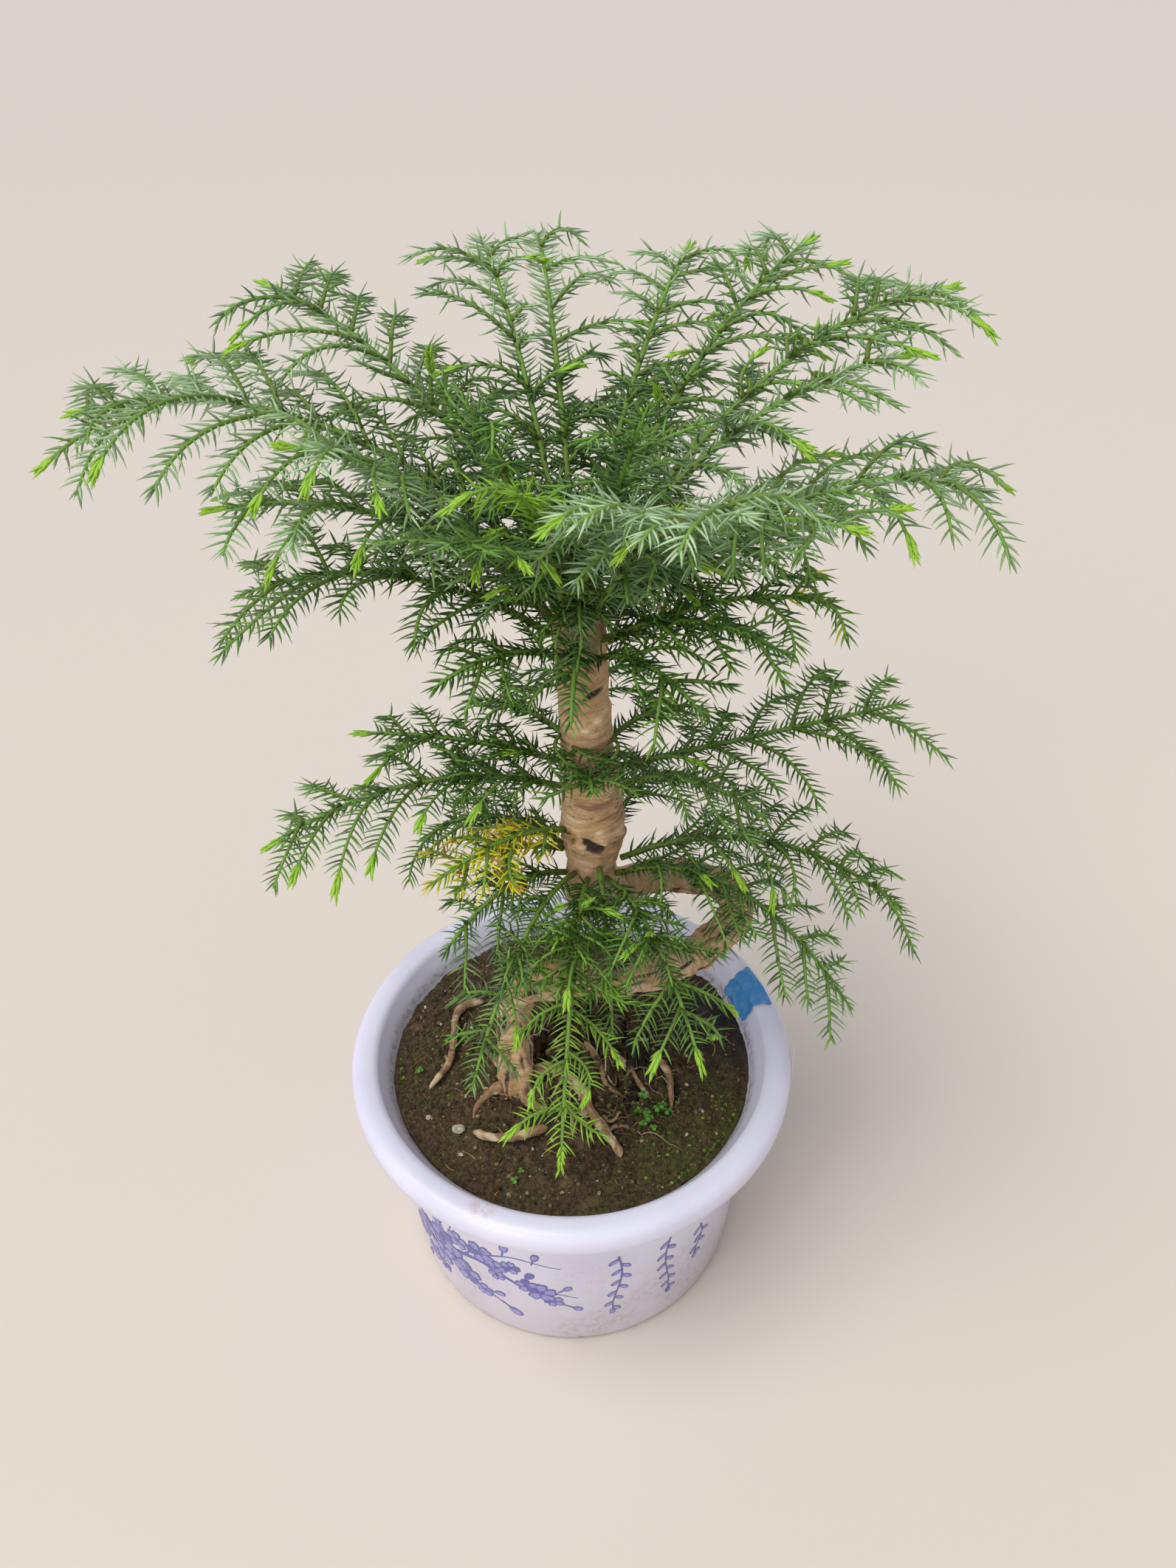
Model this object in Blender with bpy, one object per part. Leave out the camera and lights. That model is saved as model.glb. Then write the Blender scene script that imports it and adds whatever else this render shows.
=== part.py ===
"""Potted araucaria: a pinched, bonsai-like young tree in a white glossy plastic pot.

One object for each piece of the real thing: the pot, the soil, the stem with its looped base,
every leafy branch, the surface roots and the small things that lie on them. All sizes are metres,
+Z is up, and the origin is the centre of the pot's underside.
"""
import math
import random

import bmesh
import bpy
from mathutils import Vector

UP = Vector((0.0, 0.0, 1.0))
GAP = 0.0004                      # clearance between pieces that touch

# The pot: a flared bowl with a wide down-turned lip.
POT_HEIGHT = 0.1687
LIP_RADIUS = 0.140                # outside of the lip
MOUTH_RADIUS = 0.1225             # inside edge of the lip's top
BODY_TOP_RADIUS = 0.1162          # outside of the wall just under the lip
BODY_BASE_RADIUS = 0.1081
BODY_TOP = 0.152                  # height at which the wall turns out into the lip
BODY_CURVE = 0.38                 # below 1, so the wall swells out quickly above the base
WALL = 0.0030
FLOOR = 0.0040
FOOT_ROUND = 0.006
LIP_DROP = 0.0152                 # how far the lip turns down
POT_SIDES = 40
DRAIN_HOLES = 6
DRAIN_RADIUS = 0.005
DRAIN_CIRCLE = 0.070

# The soil: level near the wall, heaped round the roots.
SOIL_EDGE = 0.1505
SOIL_LEVEL = 0.1545
MOUND = (0.010, 0.004, 0.018, 0.036)        # x, y, height, spread
ROOT_CROWN = (-0.033, -0.0265)              # where the stem leaves the soil
ROOT_CROWN_RADIUS = 0.0152
POCKET_DEPTH = 0.136

# The stem: up out of the soil, round a flat loop, then straight up as the trunk.
# Each row is x, y, z and the radius there.
STEM = (
    (-0.0330, -0.0262, 0.1365, 0.0132),
    (-0.0330, -0.0262, 0.1500, 0.0142),
    (-0.0332, -0.0254, 0.1670, 0.0134),
    (-0.0352, -0.0175, 0.1920, 0.0121),
    (-0.0340, -0.0090, 0.2160, 0.0115),
    (-0.0200, -0.0100, 0.2340, 0.0115),
    (0.0060, -0.0120, 0.2390, 0.0108),
    (0.0310, -0.0110, 0.2400, 0.0105),
    (0.0540, -0.0050, 0.2400, 0.0105),
    (0.0760, 0.0070, 0.2410, 0.0105),
    (0.0950, 0.0250, 0.2420, 0.0105),
    (0.1050, 0.0460, 0.2440, 0.0105),
    (0.0970, 0.0620, 0.2460, 0.0105),
    (0.0790, 0.0680, 0.2470, 0.0105),
    (0.0580, 0.0680, 0.2480, 0.0105),
    (0.0360, 0.0610, 0.2500, 0.0110),
    (0.0200, 0.0460, 0.2550, 0.0120),
    (0.0125, 0.0300, 0.2670, 0.0135),
    (0.0118, 0.0215, 0.2850, 0.0143),
    (0.0130, 0.0200, 0.3060, 0.0160),
    (0.0136, 0.0200, 0.3260, 0.0172),
    (0.0132, 0.0200, 0.3460, 0.0168),
    (0.0119, 0.0200, 0.3700, 0.0152),
    (0.0104, 0.0200, 0.3940, 0.0142),
    (0.0088, 0.0200, 0.4200, 0.0133),
    (0.0074, 0.0200, 0.4460, 0.0132),
    (0.0060, 0.0200, 0.4720, 0.0136),
    (0.0048, 0.0200, 0.4980, 0.0132),
    (0.0042, 0.0200, 0.5120, 0.0115),
)
TRUNK_ROWS = 11                   # the last rows, the upright trunk
STEM_SIDES = 12
STEM_STEPS = 2                    # rings for each row

# The branches. Each row is the height and bearing at which it leaves the trunk, the bearing,
# reach and height of its tip, how far its middle bows up, and the length of its side shoots.
# Bearings are degrees from +X towards +Y.
BRANCHES = {
    "crown_low_branch_1": (0.452, 5, 2, 0.124, 0.473, 0.012, 0.044),
    "crown_low_branch_2": (0.459, 325, 336, 0.106, 0.472, 0.014, 0.042),
    "crown_low_branch_3": (0.450, 300, 312, 0.084, 0.452, 0.012, 0.036),
    "crown_low_branch_4": (0.457, 268, 266, 0.055, 0.440, 0.010, 0.028),
    "crown_low_branch_5": (0.450, 230, 214, 0.082, 0.456, 0.010, 0.038),
    "crown_low_branch_6": (0.458, 186, 181, 0.164, 0.482, 0.022, 0.058),
    "crown_low_branch_7": (0.452, 138, 138, 0.130, 0.475, 0.015, 0.046),
    "crown_low_branch_8": (0.459, 92, 88, 0.130, 0.465, 0.015, 0.046),
    "crown_low_branch_9": (0.452, 48, 45, 0.125, 0.472, 0.015, 0.044),
    "crown_mid_branch_1": (0.474, 18, 6, 0.112, 0.511, 0.006, 0.038),
    "crown_mid_branch_2": (0.470, 345, 345, 0.178, 0.554, 0.030, 0.052),
    "crown_mid_branch_3": (0.477, 318, 317, 0.144, 0.563, 0.020, 0.042),
    "crown_mid_branch_4": (0.470, 292, 295, 0.142, 0.582, 0.020, 0.042),
    "crown_mid_branch_5": (0.478, 270, 283, 0.120, 0.576, 0.020, 0.036),
    "crown_mid_branch_6": (0.470, 248, 254, 0.078, 0.566, 0.015, 0.032),
    "crown_mid_branch_7": (0.478, 226, 239, 0.103, 0.549, 0.015, 0.036),
    "crown_mid_branch_8": (0.471, 204, 212, 0.129, 0.583, 0.020, 0.042),
    "crown_mid_branch_9": (0.478, 182, 192, 0.158, 0.541, 0.020, 0.048),
    "crown_mid_branch_10": (0.472, 125, 122, 0.135, 0.540, 0.020, 0.046),
    "crown_mid_branch_11": (0.476, 70, 72, 0.135, 0.540, 0.020, 0.046),
    "crown_top_branch_1": (0.493, 176, 178, 0.222, 0.569, 0.035, 0.072),
    "crown_top_branch_2": (0.497, 146, 146, 0.182, 0.597, 0.020, 0.058),
    "crown_top_branch_3": (0.492, 115, 109, 0.150, 0.609, 0.020, 0.044),
    "crown_top_branch_4": (0.500, 92, 97, 0.160, 0.607, 0.020, 0.044),
    "crown_top_branch_5": (0.491, 68, 69, 0.165, 0.601, 0.020, 0.044),
    "crown_top_branch_6": (0.500, 46, 47, 0.172, 0.611, 0.020, 0.046),
    "crown_top_branch_7": (0.491, 22, 21, 0.186, 0.605, 0.030, 0.054),
    "crown_top_branch_8": (0.498, 355, 5, 0.144, 0.591, 0.020, 0.044),
    "crown_heart_branch_1": (0.501, 300, 300, 0.060, 0.592, 0.000, 0.034),
    "crown_heart_branch_2": (0.501, 225, 215, 0.055, 0.590, 0.000, 0.034),
    "middle_branch_1": (0.376, 172, 172, 0.124, 0.384, 0.005, 0.034),
    "middle_branch_2": (0.386, 138, 142, 0.084, 0.383, 0.008, 0.030),
    "middle_branch_3": (0.364, 198, 190, 0.174, 0.345, 0.022, 0.050),
    "middle_branch_4": (0.372, 8, 8, 0.172, 0.398, 0.000, 0.064),
    "middle_branch_5": (0.366, 335, 334, 0.100, 0.374, 0.014, 0.040),
    "middle_branch_6": (0.382, 48, 42, 0.080, 0.372, 0.010, 0.032),
    "middle_branch_7": (0.377, 268, 272, 0.045, 0.392, 0.004, 0.030),
    "middle_branch_8": (0.370, 95, 95, 0.110, 0.360, 0.020, 0.042),
    "lower_branch_1": (0.319, 198, 200, 0.096, 0.316, 0.012, 0.036),
    "lower_branch_2": (0.302, 206, 203, 0.092, 0.266, 0.018, 0.036),
    "lower_branch_3": (0.337, 215, 210, 0.084, 0.338, 0.008, 0.032),
    "lower_branch_4": (0.309, 352, 355, 0.180, 0.283, 0.032, 0.048),
    "lower_branch_5": (0.302, 330, 339, 0.160, 0.242, 0.040, 0.042),
    "lower_branch_6": (0.305, 262, 262, 0.126, 0.190, 0.045, 0.036),
    "lower_branch_7": (0.304, 300, 299, 0.120, 0.253, 0.025, 0.036),
    "lower_branch_8": (0.308, 236, 235, 0.118, 0.220, 0.030, 0.034),
    "lower_branch_9": (0.314, 283, 279, 0.073, 0.236, 0.020, 0.026),
    "lower_branch_10": (0.312, 160, 160, 0.110, 0.290, 0.020, 0.042),
    "lower_branch_11": (0.312, 58, 60, 0.110, 0.290, 0.020, 0.042),
}
BRANCH_RADIUS = (0.0038, 0.0022)  # at the trunk and at the tip
SHOOT_RADIUS = (0.0026, 0.0015)
SHOOT_SPACING = 0.021
SHOOT_ANGLE = math.radians(56)    # between a side shoot and its branch
SHOOT_FIRST = 0.020               # bare length at the trunk
SHOOT_LAST = 0.012                # and at the tip
SHOOT_SHORTEST = 0.010
SHOOT_CLEARANCE = 0.0008
FOLIAGE_FLOOR = 0.180

# The roots that lie on the soil: the points they pass over and their radii at the two ends.
ROOTS = {
    "surface_root_left": (((-0.059, 0.041), (-0.071, 0.038), (-0.077, 0.029), (-0.077, 0.014),
                           (-0.077, 0.001), (-0.079, -0.012), (-0.089, -0.029)), 0.0026, 0.0020),
    "surface_root_front": (((-0.059, -0.062), (-0.048, -0.067), (-0.035, -0.067), (-0.024, -0.064),
                            (-0.014, -0.061)), 0.0024, 0.0032),
    "surface_root_centre": (((-0.003, -0.028), (0.007, -0.039), (0.012, -0.050), (0.020, -0.062),
                             (0.027, -0.072), (0.030, -0.080)), 0.0036, 0.0026),
    "surface_root_right": (((0.055, -0.010), (0.061, -0.022), (0.062, -0.032), (0.062, -0.045)),
                           0.0024, 0.0018),
}
ROOT_SIDES = 8
ROOT_LIFT = 0.0012

TAPE_BEARINGS = (13.0, 27.0)      # degrees round the lip
TAPE_THICKNESS = 0.0006
TAPE_COLUMNS = 5
PEBBLE = (-0.068, -0.059, 0.0036)           # x, y, size
SEEDLING = (0.050, -0.055, 0.009, 0.0058)   # x, y, height, leaf length

FINISHES = {
    "white_plastic": ((0.80, 0.80, 0.88), 0.22),
    "soil": ((0.085, 0.055, 0.033), 0.95),
    "bark": ((0.42, 0.27, 0.14), 0.80),
    "root_bark": ((0.33, 0.23, 0.14), 0.85),
    "foliage": ((0.07, 0.20, 0.07), 0.55),
    "tape": ((0.05, 0.22, 0.55), 0.45),
    "stone": ((0.75, 0.73, 0.68), 0.60),
    "seedling": ((0.12, 0.40, 0.05), 0.50),
}


def clear_scene():
    """Remove every object of the starting scene."""
    for item in list(bpy.data.objects):
        bpy.data.objects.remove(item, do_unlink=True)


def finish(name):
    """The material of one finish, made once."""
    if name in bpy.data.materials:
        return bpy.data.materials[name]
    colour, roughness = FINISHES[name]
    material = bpy.data.materials.new(name)
    material.use_nodes = True
    shader = material.node_tree.nodes["Principled BSDF"]
    shader.inputs["Base Color"].default_value = (*colour, 1.0)
    shader.inputs["Roughness"].default_value = roughness
    shader.inputs["Metallic"].default_value = 0.0
    material.diffuse_color = (*colour, 1.0)
    return material


def add_object(name, mesh_data, finish_name):
    """Turn a bmesh into an object with smooth faces and its own finish."""
    bmesh.ops.recalc_face_normals(mesh_data, faces=mesh_data.faces)
    mesh = bpy.data.meshes.new(name)
    mesh_data.to_mesh(mesh)
    mesh_data.free()
    mesh.shade_smooth()
    mesh.set_sharp_from_angle(angle=math.radians(50))
    mesh.materials.append(finish(finish_name))
    item = bpy.data.objects.new(name, mesh)
    bpy.context.scene.collection.objects.link(item)
    return item


def cut(item, cutter_data, name):
    """Subtract a bmesh from an object with an exact Boolean."""
    cutter = add_object(name, cutter_data, "soil")
    cutter.hide_render = True
    cutter.display_type = "WIRE"
    modifier = item.modifiers.new("cut", "BOOLEAN")
    modifier.operation = "DIFFERENCE"
    modifier.solver = "EXACT"
    modifier.object = cutter


def revolve(profile, sides):
    """A closed solid turned round Z from (radius, height) points that start and end on the axis."""
    data = bmesh.new()
    rings = []
    for radius, height in profile:
        if radius == 0.0:
            rings.append([data.verts.new((0.0, 0.0, height))])
            continue
        angles = (2.0 * math.pi * i / sides for i in range(sides))
        rings.append([data.verts.new((radius * math.cos(a), radius * math.sin(a), height))
                      for a in angles])
    for low, high in zip(rings, rings[1:]):
        for i in range(sides):
            j = (i + 1) % sides
            corners = [low[i % len(low)], low[j % len(low)], high[j % len(high)], high[i % len(high)]]
            data.faces.new(list(dict.fromkeys(corners)))
    return data


def catmull(points, steps):
    """Points of a smooth curve through the given ones, with `steps` spans between each pair."""
    ends = [points[0] * 2 - points[1]] + list(points) + [points[-1] * 2 - points[-2]]
    curve = []
    for a, b, c, d in zip(ends, ends[1:], ends[2:], ends[3:]):
        for i in range(steps):
            t = i / steps
            curve.append(0.5 * (2 * b + (c - a) * t + (2 * a - 5 * b + 4 * c - d) * t * t
                                + (3 * b - a - 3 * c + d) * t ** 3))
    curve.append(points[-1].copy())
    return curve


def tube(points, radii, sides):
    """A closed round tube along the points, its rings turned as little as possible."""
    data = bmesh.new()
    side = None
    rings = []
    for i, point in enumerate(points):
        tangent = (points[min(i + 1, len(points) - 1)] - points[max(i - 1, 0)]).normalized()
        if side is None:
            side = tangent.orthogonal().normalized()
        side = (side - tangent * side.dot(tangent)).normalized()
        other = tangent.cross(side)
        ring = []
        for k in range(sides):
            angle = 2.0 * math.pi * k / sides
            offset = side * math.cos(angle) + other * math.sin(angle)
            ring.append(data.verts.new(point + offset * radii[i]))
        rings.append(ring)
    for low, high in zip(rings, rings[1:]):
        for k in range(sides):
            data.faces.new((low[k], low[(k + 1) % sides], high[(k + 1) % sides], high[k]))
    data.faces.new(rings[0])
    data.faces.new(rings[-1])
    return data


def wall_radius(height):
    """Outside radius of the pot's wall at a height."""
    swell = (height / BODY_TOP) ** BODY_CURVE
    return BODY_BASE_RADIUS + (BODY_TOP_RADIUS - BODY_BASE_RADIUS) * swell


def inner_radius(height):
    """Inside radius of the pot's wall, which opens out into the lip."""
    opening = max(0.0, (height - SOIL_EDGE + 0.004) / (POT_HEIGHT - SOIL_EDGE))
    flare = MOUTH_RADIUS - (BODY_TOP_RADIUS - WALL)
    return wall_radius(min(height, BODY_TOP)) - WALL + flare * min(1.0, opening) ** 1.3


def lip_top():
    """The (radius, height) points of the lip's visible face, from its lower edge to the mouth."""
    return [(LIP_RADIUS - 0.0006, POT_HEIGHT - LIP_DROP), (LIP_RADIUS, POT_HEIGHT - LIP_DROP + 0.0015),
            (LIP_RADIUS, POT_HEIGHT - 0.0070), (LIP_RADIUS - 0.0012, POT_HEIGHT - 0.0030),
            (LIP_RADIUS - 0.0042, POT_HEIGHT - 0.0006), (LIP_RADIUS - 0.0085, POT_HEIGHT),
            (MOUTH_RADIUS + 0.0050, POT_HEIGHT - 0.0002), (MOUTH_RADIUS + 0.0018, POT_HEIGHT - 0.0012),
            (MOUTH_RADIUS, POT_HEIGHT - 0.0038)]


def make_pot():
    """The pot: floor, swelling wall and hollow down-turned lip, with drain holes in the floor."""
    heights = [FOOT_ROUND + (BODY_TOP - FOOT_ROUND) * (i / 5) ** 1.4 for i in range(6)]
    outside = [(wall_radius(h), h) for h in heights]
    foot = wall_radius(FOOT_ROUND)
    profile = [(0.0, 0.0), (DRAIN_CIRCLE - 0.02, 0.0), (foot - FOOT_ROUND, 0.0),
               (foot - FOOT_ROUND * 0.3, FOOT_ROUND * 0.3)] + outside
    profile += [(BODY_TOP_RADIUS + 0.0030, BODY_TOP + 0.0080),
                (LIP_RADIUS - 0.0070, POT_HEIGHT - 0.0042),
                (LIP_RADIUS - 0.0034, POT_HEIGHT - 0.0080),
                (LIP_RADIUS - 0.0032, POT_HEIGHT - LIP_DROP)]
    profile += lip_top()
    inside = [(inner_radius(h), h) for h in (0.159, 0.153, 0.145, 0.120, 0.080, 0.040, 0.015)]
    profile += inside + [(inner_radius(FLOOR) - 0.004, FLOOR), (DRAIN_CIRCLE - 0.02, FLOOR), (0.0, FLOOR)]
    pot = add_object("pot", revolve(profile, POT_SIDES), "white_plastic")
    holes = bmesh.new()
    for i in range(DRAIN_HOLES):
        angle = 2.0 * math.pi * i / DRAIN_HOLES
        hole = bmesh.ops.create_cone(holes, cap_ends=True, segments=10, radius1=DRAIN_RADIUS,
                                     radius2=DRAIN_RADIUS, depth=FLOOR * 4)
        place = Vector((DRAIN_CIRCLE * math.cos(angle), DRAIN_CIRCLE * math.sin(angle), 0.0))
        bmesh.ops.translate(holes, verts=hole["verts"], vec=place)
    cut(pot, holes, "drain_cutter")


def soil_height(x, y):
    """Height of the soil's top: nearly level, with a mound and gentle lumps."""
    mound_x, mound_y, rise, spread = MOUND
    away = ((x - mound_x) ** 2 + (y - mound_y) ** 2) / (2.0 * spread ** 2)
    lumps = 0.0012 * math.sin(61.0 * x + 1.3) * math.cos(53.0 * y - 0.4)
    edge = max(0.0, (math.hypot(x, y) - 0.095) / 0.018)
    level = SOIL_LEVEL + (SOIL_EDGE - SOIL_LEVEL) * min(1.0, edge)
    return level + (rise * math.exp(-away) + lumps) * max(0.0, 1.0 - edge)


def make_soil():
    """The soil: it fills the pot, and the stem's root crown stands in a pocket of it."""
    side = [(inner_radius(h) - GAP, h) for h in (0.015, 0.080, 0.145, SOIL_EDGE)]
    top_radius = side[-1][0]
    rings = [(top_radius * f, 1.0) for f in (0.92, 0.81, 0.68, 0.54, 0.40, 0.27, 0.13)]
    bottom = [(0.0, FLOOR + GAP), (inner_radius(FLOOR) - 0.005, FLOOR + GAP)]
    data = revolve(bottom + side + rings + [(0.0, 1.0)], POT_SIDES)
    for vert in data.verts:
        if vert.co.z == 1.0:
            vert.co.z = soil_height(vert.co.x, vert.co.y)
    soil = add_object("soil", data, "soil")
    pocket = bmesh.new()
    made = bmesh.ops.create_cone(pocket, cap_ends=True, segments=28, radius1=ROOT_CROWN_RADIUS + 0.0008,
                                 radius2=ROOT_CROWN_RADIUS + 0.0008, depth=0.1)
    place = Vector((*ROOT_CROWN, POCKET_DEPTH + 0.05))
    bmesh.ops.translate(pocket, verts=made["verts"], vec=place)
    cut(soil, pocket, "pocket_cutter")


def make_stem():
    """The stem: root crown, looped limb and upright trunk, grown as one piece of wood."""
    places = catmull([Vector(row[:3]) for row in STEM], STEM_STEPS)
    widths = catmull([Vector((row[3], 0.0, 0.0)) for row in STEM], STEM_STEPS)
    add_object("stem", tube(places, [w.x for w in widths], STEM_SIDES), "bark")


def trunk_at(height):
    """The centre and radius of the upright trunk at a height."""
    rows = STEM[-TRUNK_ROWS:]
    for low, high in zip(rows, rows[1:]):
        if low[2] <= height <= high[2]:
            t = (height - low[2]) / (high[2] - low[2])
            mixed = [a + (b - a) * t for a, b in zip(low, high)]
            return Vector((mixed[0], mixed[1], height)), mixed[3]
    raise ValueError(f"no trunk at {height}")


def bearing(degrees):
    """The level unit vector at a bearing."""
    angle = math.radians(degrees)
    return Vector((math.cos(angle), math.sin(angle), 0.0))


def branch_curve(row):
    """The start, control and tip of a branch's axis, a quadratic curve."""
    height, start_bearing, tip_bearing, reach, tip_height, bow, _ = row
    centre, radius = trunk_at(height)
    start = centre + bearing(start_bearing) * (radius + 2 * GAP)
    tip = centre + bearing(tip_bearing) * reach
    tip.z = tip_height
    middle = (start + tip) / 2 + UP * bow
    return start, 2 * middle - (start + tip) / 2, tip


def curve_point(curve, t):
    """A point of a quadratic curve, and its direction there."""
    start, control, tip = curve
    point = start * (1 - t) ** 2 + control * (2 * t * (1 - t)) + tip * t ** 2
    slope = (control - start) * (1 - t) + (tip - control) * t
    return point, slope.normalized()


def segment_distance(a, b, c, d):
    """Shortest distance between the segments a-b and c-d."""
    u, v, w = b - a, d - c, a - c
    uu, uv, vv, uw, vw = u.dot(u), u.dot(v), v.dot(v), u.dot(w), v.dot(w)
    spread = uu * vv - uv * uv
    s = min(1.0, max(0.0, (uv * vw - vv * uw) / spread)) if spread > 1e-14 else 0.0
    t = min(1.0, max(0.0, (uv * s + vw) / vv)) if vv > 1e-14 else 0.0
    s = min(1.0, max(0.0, (uv * t - uw) / uu)) if uu > 1e-14 else 0.0
    return (w + u * s - v * t).length


class Space:
    """The round segments already grown, so that a new shoot can keep clear of them."""

    def __init__(self):
        self.taken = []

    def add(self, owner, a, b, radius):
        """Record one segment."""
        middle = (a + b) / 2
        self.taken.append((owner, a, b, radius, middle, (b - a).length / 2 + radius))

    def is_clear(self, owner, a, b, radius):
        """True where a segment misses every segment of every other branch."""
        middle = (a + b) / 2
        half = (b - a).length / 2 + radius + SHOOT_CLEARANCE
        for other, c, d, other_radius, centre, size in self.taken:
            if other == owner or (centre - middle).length > half + size:
                continue
            if segment_distance(a, b, c, d) < radius + other_radius + SHOOT_CLEARANCE:
                return False
        return True


def grow_axes(space):
    """Place every branch's axis. Returns each branch's curve and its length."""
    axes = {}
    for name, row in BRANCHES.items():
        curve = branch_curve(row)
        points = [curve_point(curve, i / 10)[0] for i in range(11)]
        length = sum((b - a).length for a, b in zip(points, points[1:]))
        for a, b in zip(points, points[1:]):
            space.add(name, a, b, BRANCH_RADIUS[0])
        axes[name] = (curve, length)
    return axes


def grow_shoots(name, curve, length, size, space):
    """The pairs of side shoots of a branch: (place on the axis 0-1, [left, right] polylines)."""
    chance = random.Random(name)
    count = max(1, round((length - SHOOT_FIRST - SHOOT_LAST) / SHOOT_SPACING))
    pairs = []
    for i in range(count):
        place = (SHOOT_FIRST + (i + 0.5) * (length - SHOOT_FIRST - SHOOT_LAST) / count) / length
        point, along = curve_point(curve, place)
        level = along.cross(UP).normalized()
        shape = 0.58 + 0.42 * math.sin(math.pi * place ** 1.15)
        pair = []
        for side in (-1.0, 1.0):
            reach = size * shape * chance.uniform(0.85, 1.15)
            lift = chance.uniform(-0.10, 0.22)
            turn = SHOOT_ANGLE * chance.uniform(0.88, 1.12)
            out = (along * math.cos(turn) + level * side * math.sin(turn) + UP * lift).normalized()
            pair.append(fit_shoot(name, point, out, reach, space))
        pairs.append((place, pair))
    return pairs


def fit_shoot(name, point, out, reach, space):
    """A drooping shoot, shortened until it is clear of the others, or None."""
    droop = (out - UP * 0.55).normalized()
    while reach > SHOOT_SHORTEST:
        knee = point + out * reach * 0.55
        end = knee + droop * reach * 0.45
        if end.z > FOLIAGE_FLOOR and space.is_clear(name, point, knee, SHOOT_RADIUS[0]) \
                and space.is_clear(name, knee, end, SHOOT_RADIUS[0]):
            space.add(name, point, knee, SHOOT_RADIUS[0])
            space.add(name, knee, end, SHOOT_RADIUS[0])
            return [point, knee, end]
        reach *= 0.8
    return None


def square_ring(data, point, along, across, radius):
    """Four vertices round a point, in the plane square to `along`."""
    across = (across - along * across.dot(along)).normalized()
    over = across.cross(along)
    half = radius * math.sqrt(0.5)
    return [data.verts.new(point + (across * i + over * j) * half)
            for i, j in ((1, 1), (-1, 1), (-1, -1), (1, -1))]


def extrude_shoot(data, face, route):
    """Draw one side face of the branch out along a shoot's route."""
    for step, (here, there) in enumerate(zip(route, route[1:])):
        along = (there - here).normalized()
        radius = SHOOT_RADIUS[0] + (SHOOT_RADIUS[1] - SHOOT_RADIUS[0]) * (step + 1) / (len(route) - 1)
        corners = [v.co.copy() for v in face.verts]
        centre = sum(corners, Vector()) / 4
        drawn = bmesh.ops.extrude_discrete_faces(data, faces=[face])["faces"][0]
        for vert, corner in zip(drawn.verts, corners):
            offset = corner - centre
            offset = offset - along * offset.dot(along)
            vert.co = there + offset.normalized() * radius
        face = drawn


def make_branch(name, curve, length, pairs):
    """A branch: a tapering square tube whose side faces are drawn out into the side shoots."""
    data = bmesh.new()
    half = 0.0022 / length
    stations = [0.0]
    for place, _ in pairs:
        stations += [place - half, place + half]
    stations.append(1.0)
    rings = []
    for i, t in enumerate(stations):
        point, along = curve_point(curve, t)
        across = along.cross(UP).normalized()
        if i == 0:
            along = across.cross(UP) * -1.0
        radius = BRANCH_RADIUS[0] + (BRANCH_RADIUS[1] - BRANCH_RADIUS[0]) * t
        rings.append(square_ring(data, point, along, across, radius))
    sides = []
    for low, high in zip(rings, rings[1:]):
        quads = [data.faces.new((low[k], low[(k + 1) % 4], high[(k + 1) % 4], high[k])) for k in range(4)]
        sides.append((quads[1], quads[3]))
    data.faces.new(rings[0])
    data.faces.new(rings[-1])
    bmesh.ops.recalc_face_normals(data, faces=data.faces)
    for i, (_, pair) in enumerate(pairs):
        for face, route in zip(sides[2 * i + 1], pair):
            if route:
                extrude_shoot(data, face, route)
    add_object(name, data, "foliage")


def make_branches():
    """Every leafy branch, each kept clear of the others and of the stem."""
    space = Space()
    for low, high in zip(STEM, STEM[1:]):
        space.add("stem", Vector(low[:3]), Vector(high[:3]), max(low[3], high[3]))
    axes = grow_axes(space)
    for name, (curve, length) in axes.items():
        make_branch(name, curve, length, grow_shoots(name, curve, length, BRANCHES[name][6], space))


def make_roots():
    """The bare roots that lie on top of the soil."""
    for name, (route, first, last) in ROOTS.items():
        flat = catmull([Vector((x, y, 0.0)) for x, y in route], 2)
        radii = [first + (last - first) * i / (len(flat) - 1) for i in range(len(flat))]
        points = [Vector((p.x, p.y, soil_height(p.x, p.y) + r + ROOT_LIFT)) for p, r in zip(flat, radii)]
        add_object(name, tube(points, radii, ROOT_SIDES), "root_bark")


def make_tape():
    """A patch of blue tape folded over the lip and down inside the mouth."""
    section = lip_top()[5:] + [(inner_radius(h), h) for h in (0.1590, 0.1550)]
    normals = []
    for i in range(len(section)):
        before, after = section[max(i - 1, 0)], section[min(i + 1, len(section) - 1)]
        normals.append(Vector((after[1] - before[1], before[0] - after[0])).normalized())
    data = bmesh.new()
    columns = []
    for i in range(TAPE_COLUMNS + 1):
        angle = math.radians(TAPE_BEARINGS[0] + (TAPE_BEARINGS[1] - TAPE_BEARINGS[0]) * i / TAPE_COLUMNS)
        column = []
        for lift in (2 * GAP, 2 * GAP + TAPE_THICKNESS):
            layer = []
            for (radius, height), normal in zip(section, normals):
                reach = radius + normal.x * lift
                place = (reach * math.cos(angle), reach * math.sin(angle), height + normal.y * lift)
                layer.append(data.verts.new(place))
            column.append(layer)
        columns.append(column)
    last = len(section) - 1
    for (low_in, low_out), (high_in, high_out) in zip(columns, columns[1:]):
        for a, b in ((low_in, high_in), (low_out, high_out)):
            for k in range(last):
                data.faces.new((a[k], a[k + 1], b[k + 1], b[k]))
        for k in (0, last):
            data.faces.new((low_in[k], high_in[k], high_out[k], low_out[k]))
    for inner, outer in (columns[0], columns[-1]):
        for k in range(last):
            data.faces.new((inner[k], inner[k + 1], outer[k + 1], outer[k]))
    add_object("tape_patch", data, "tape")


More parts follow.
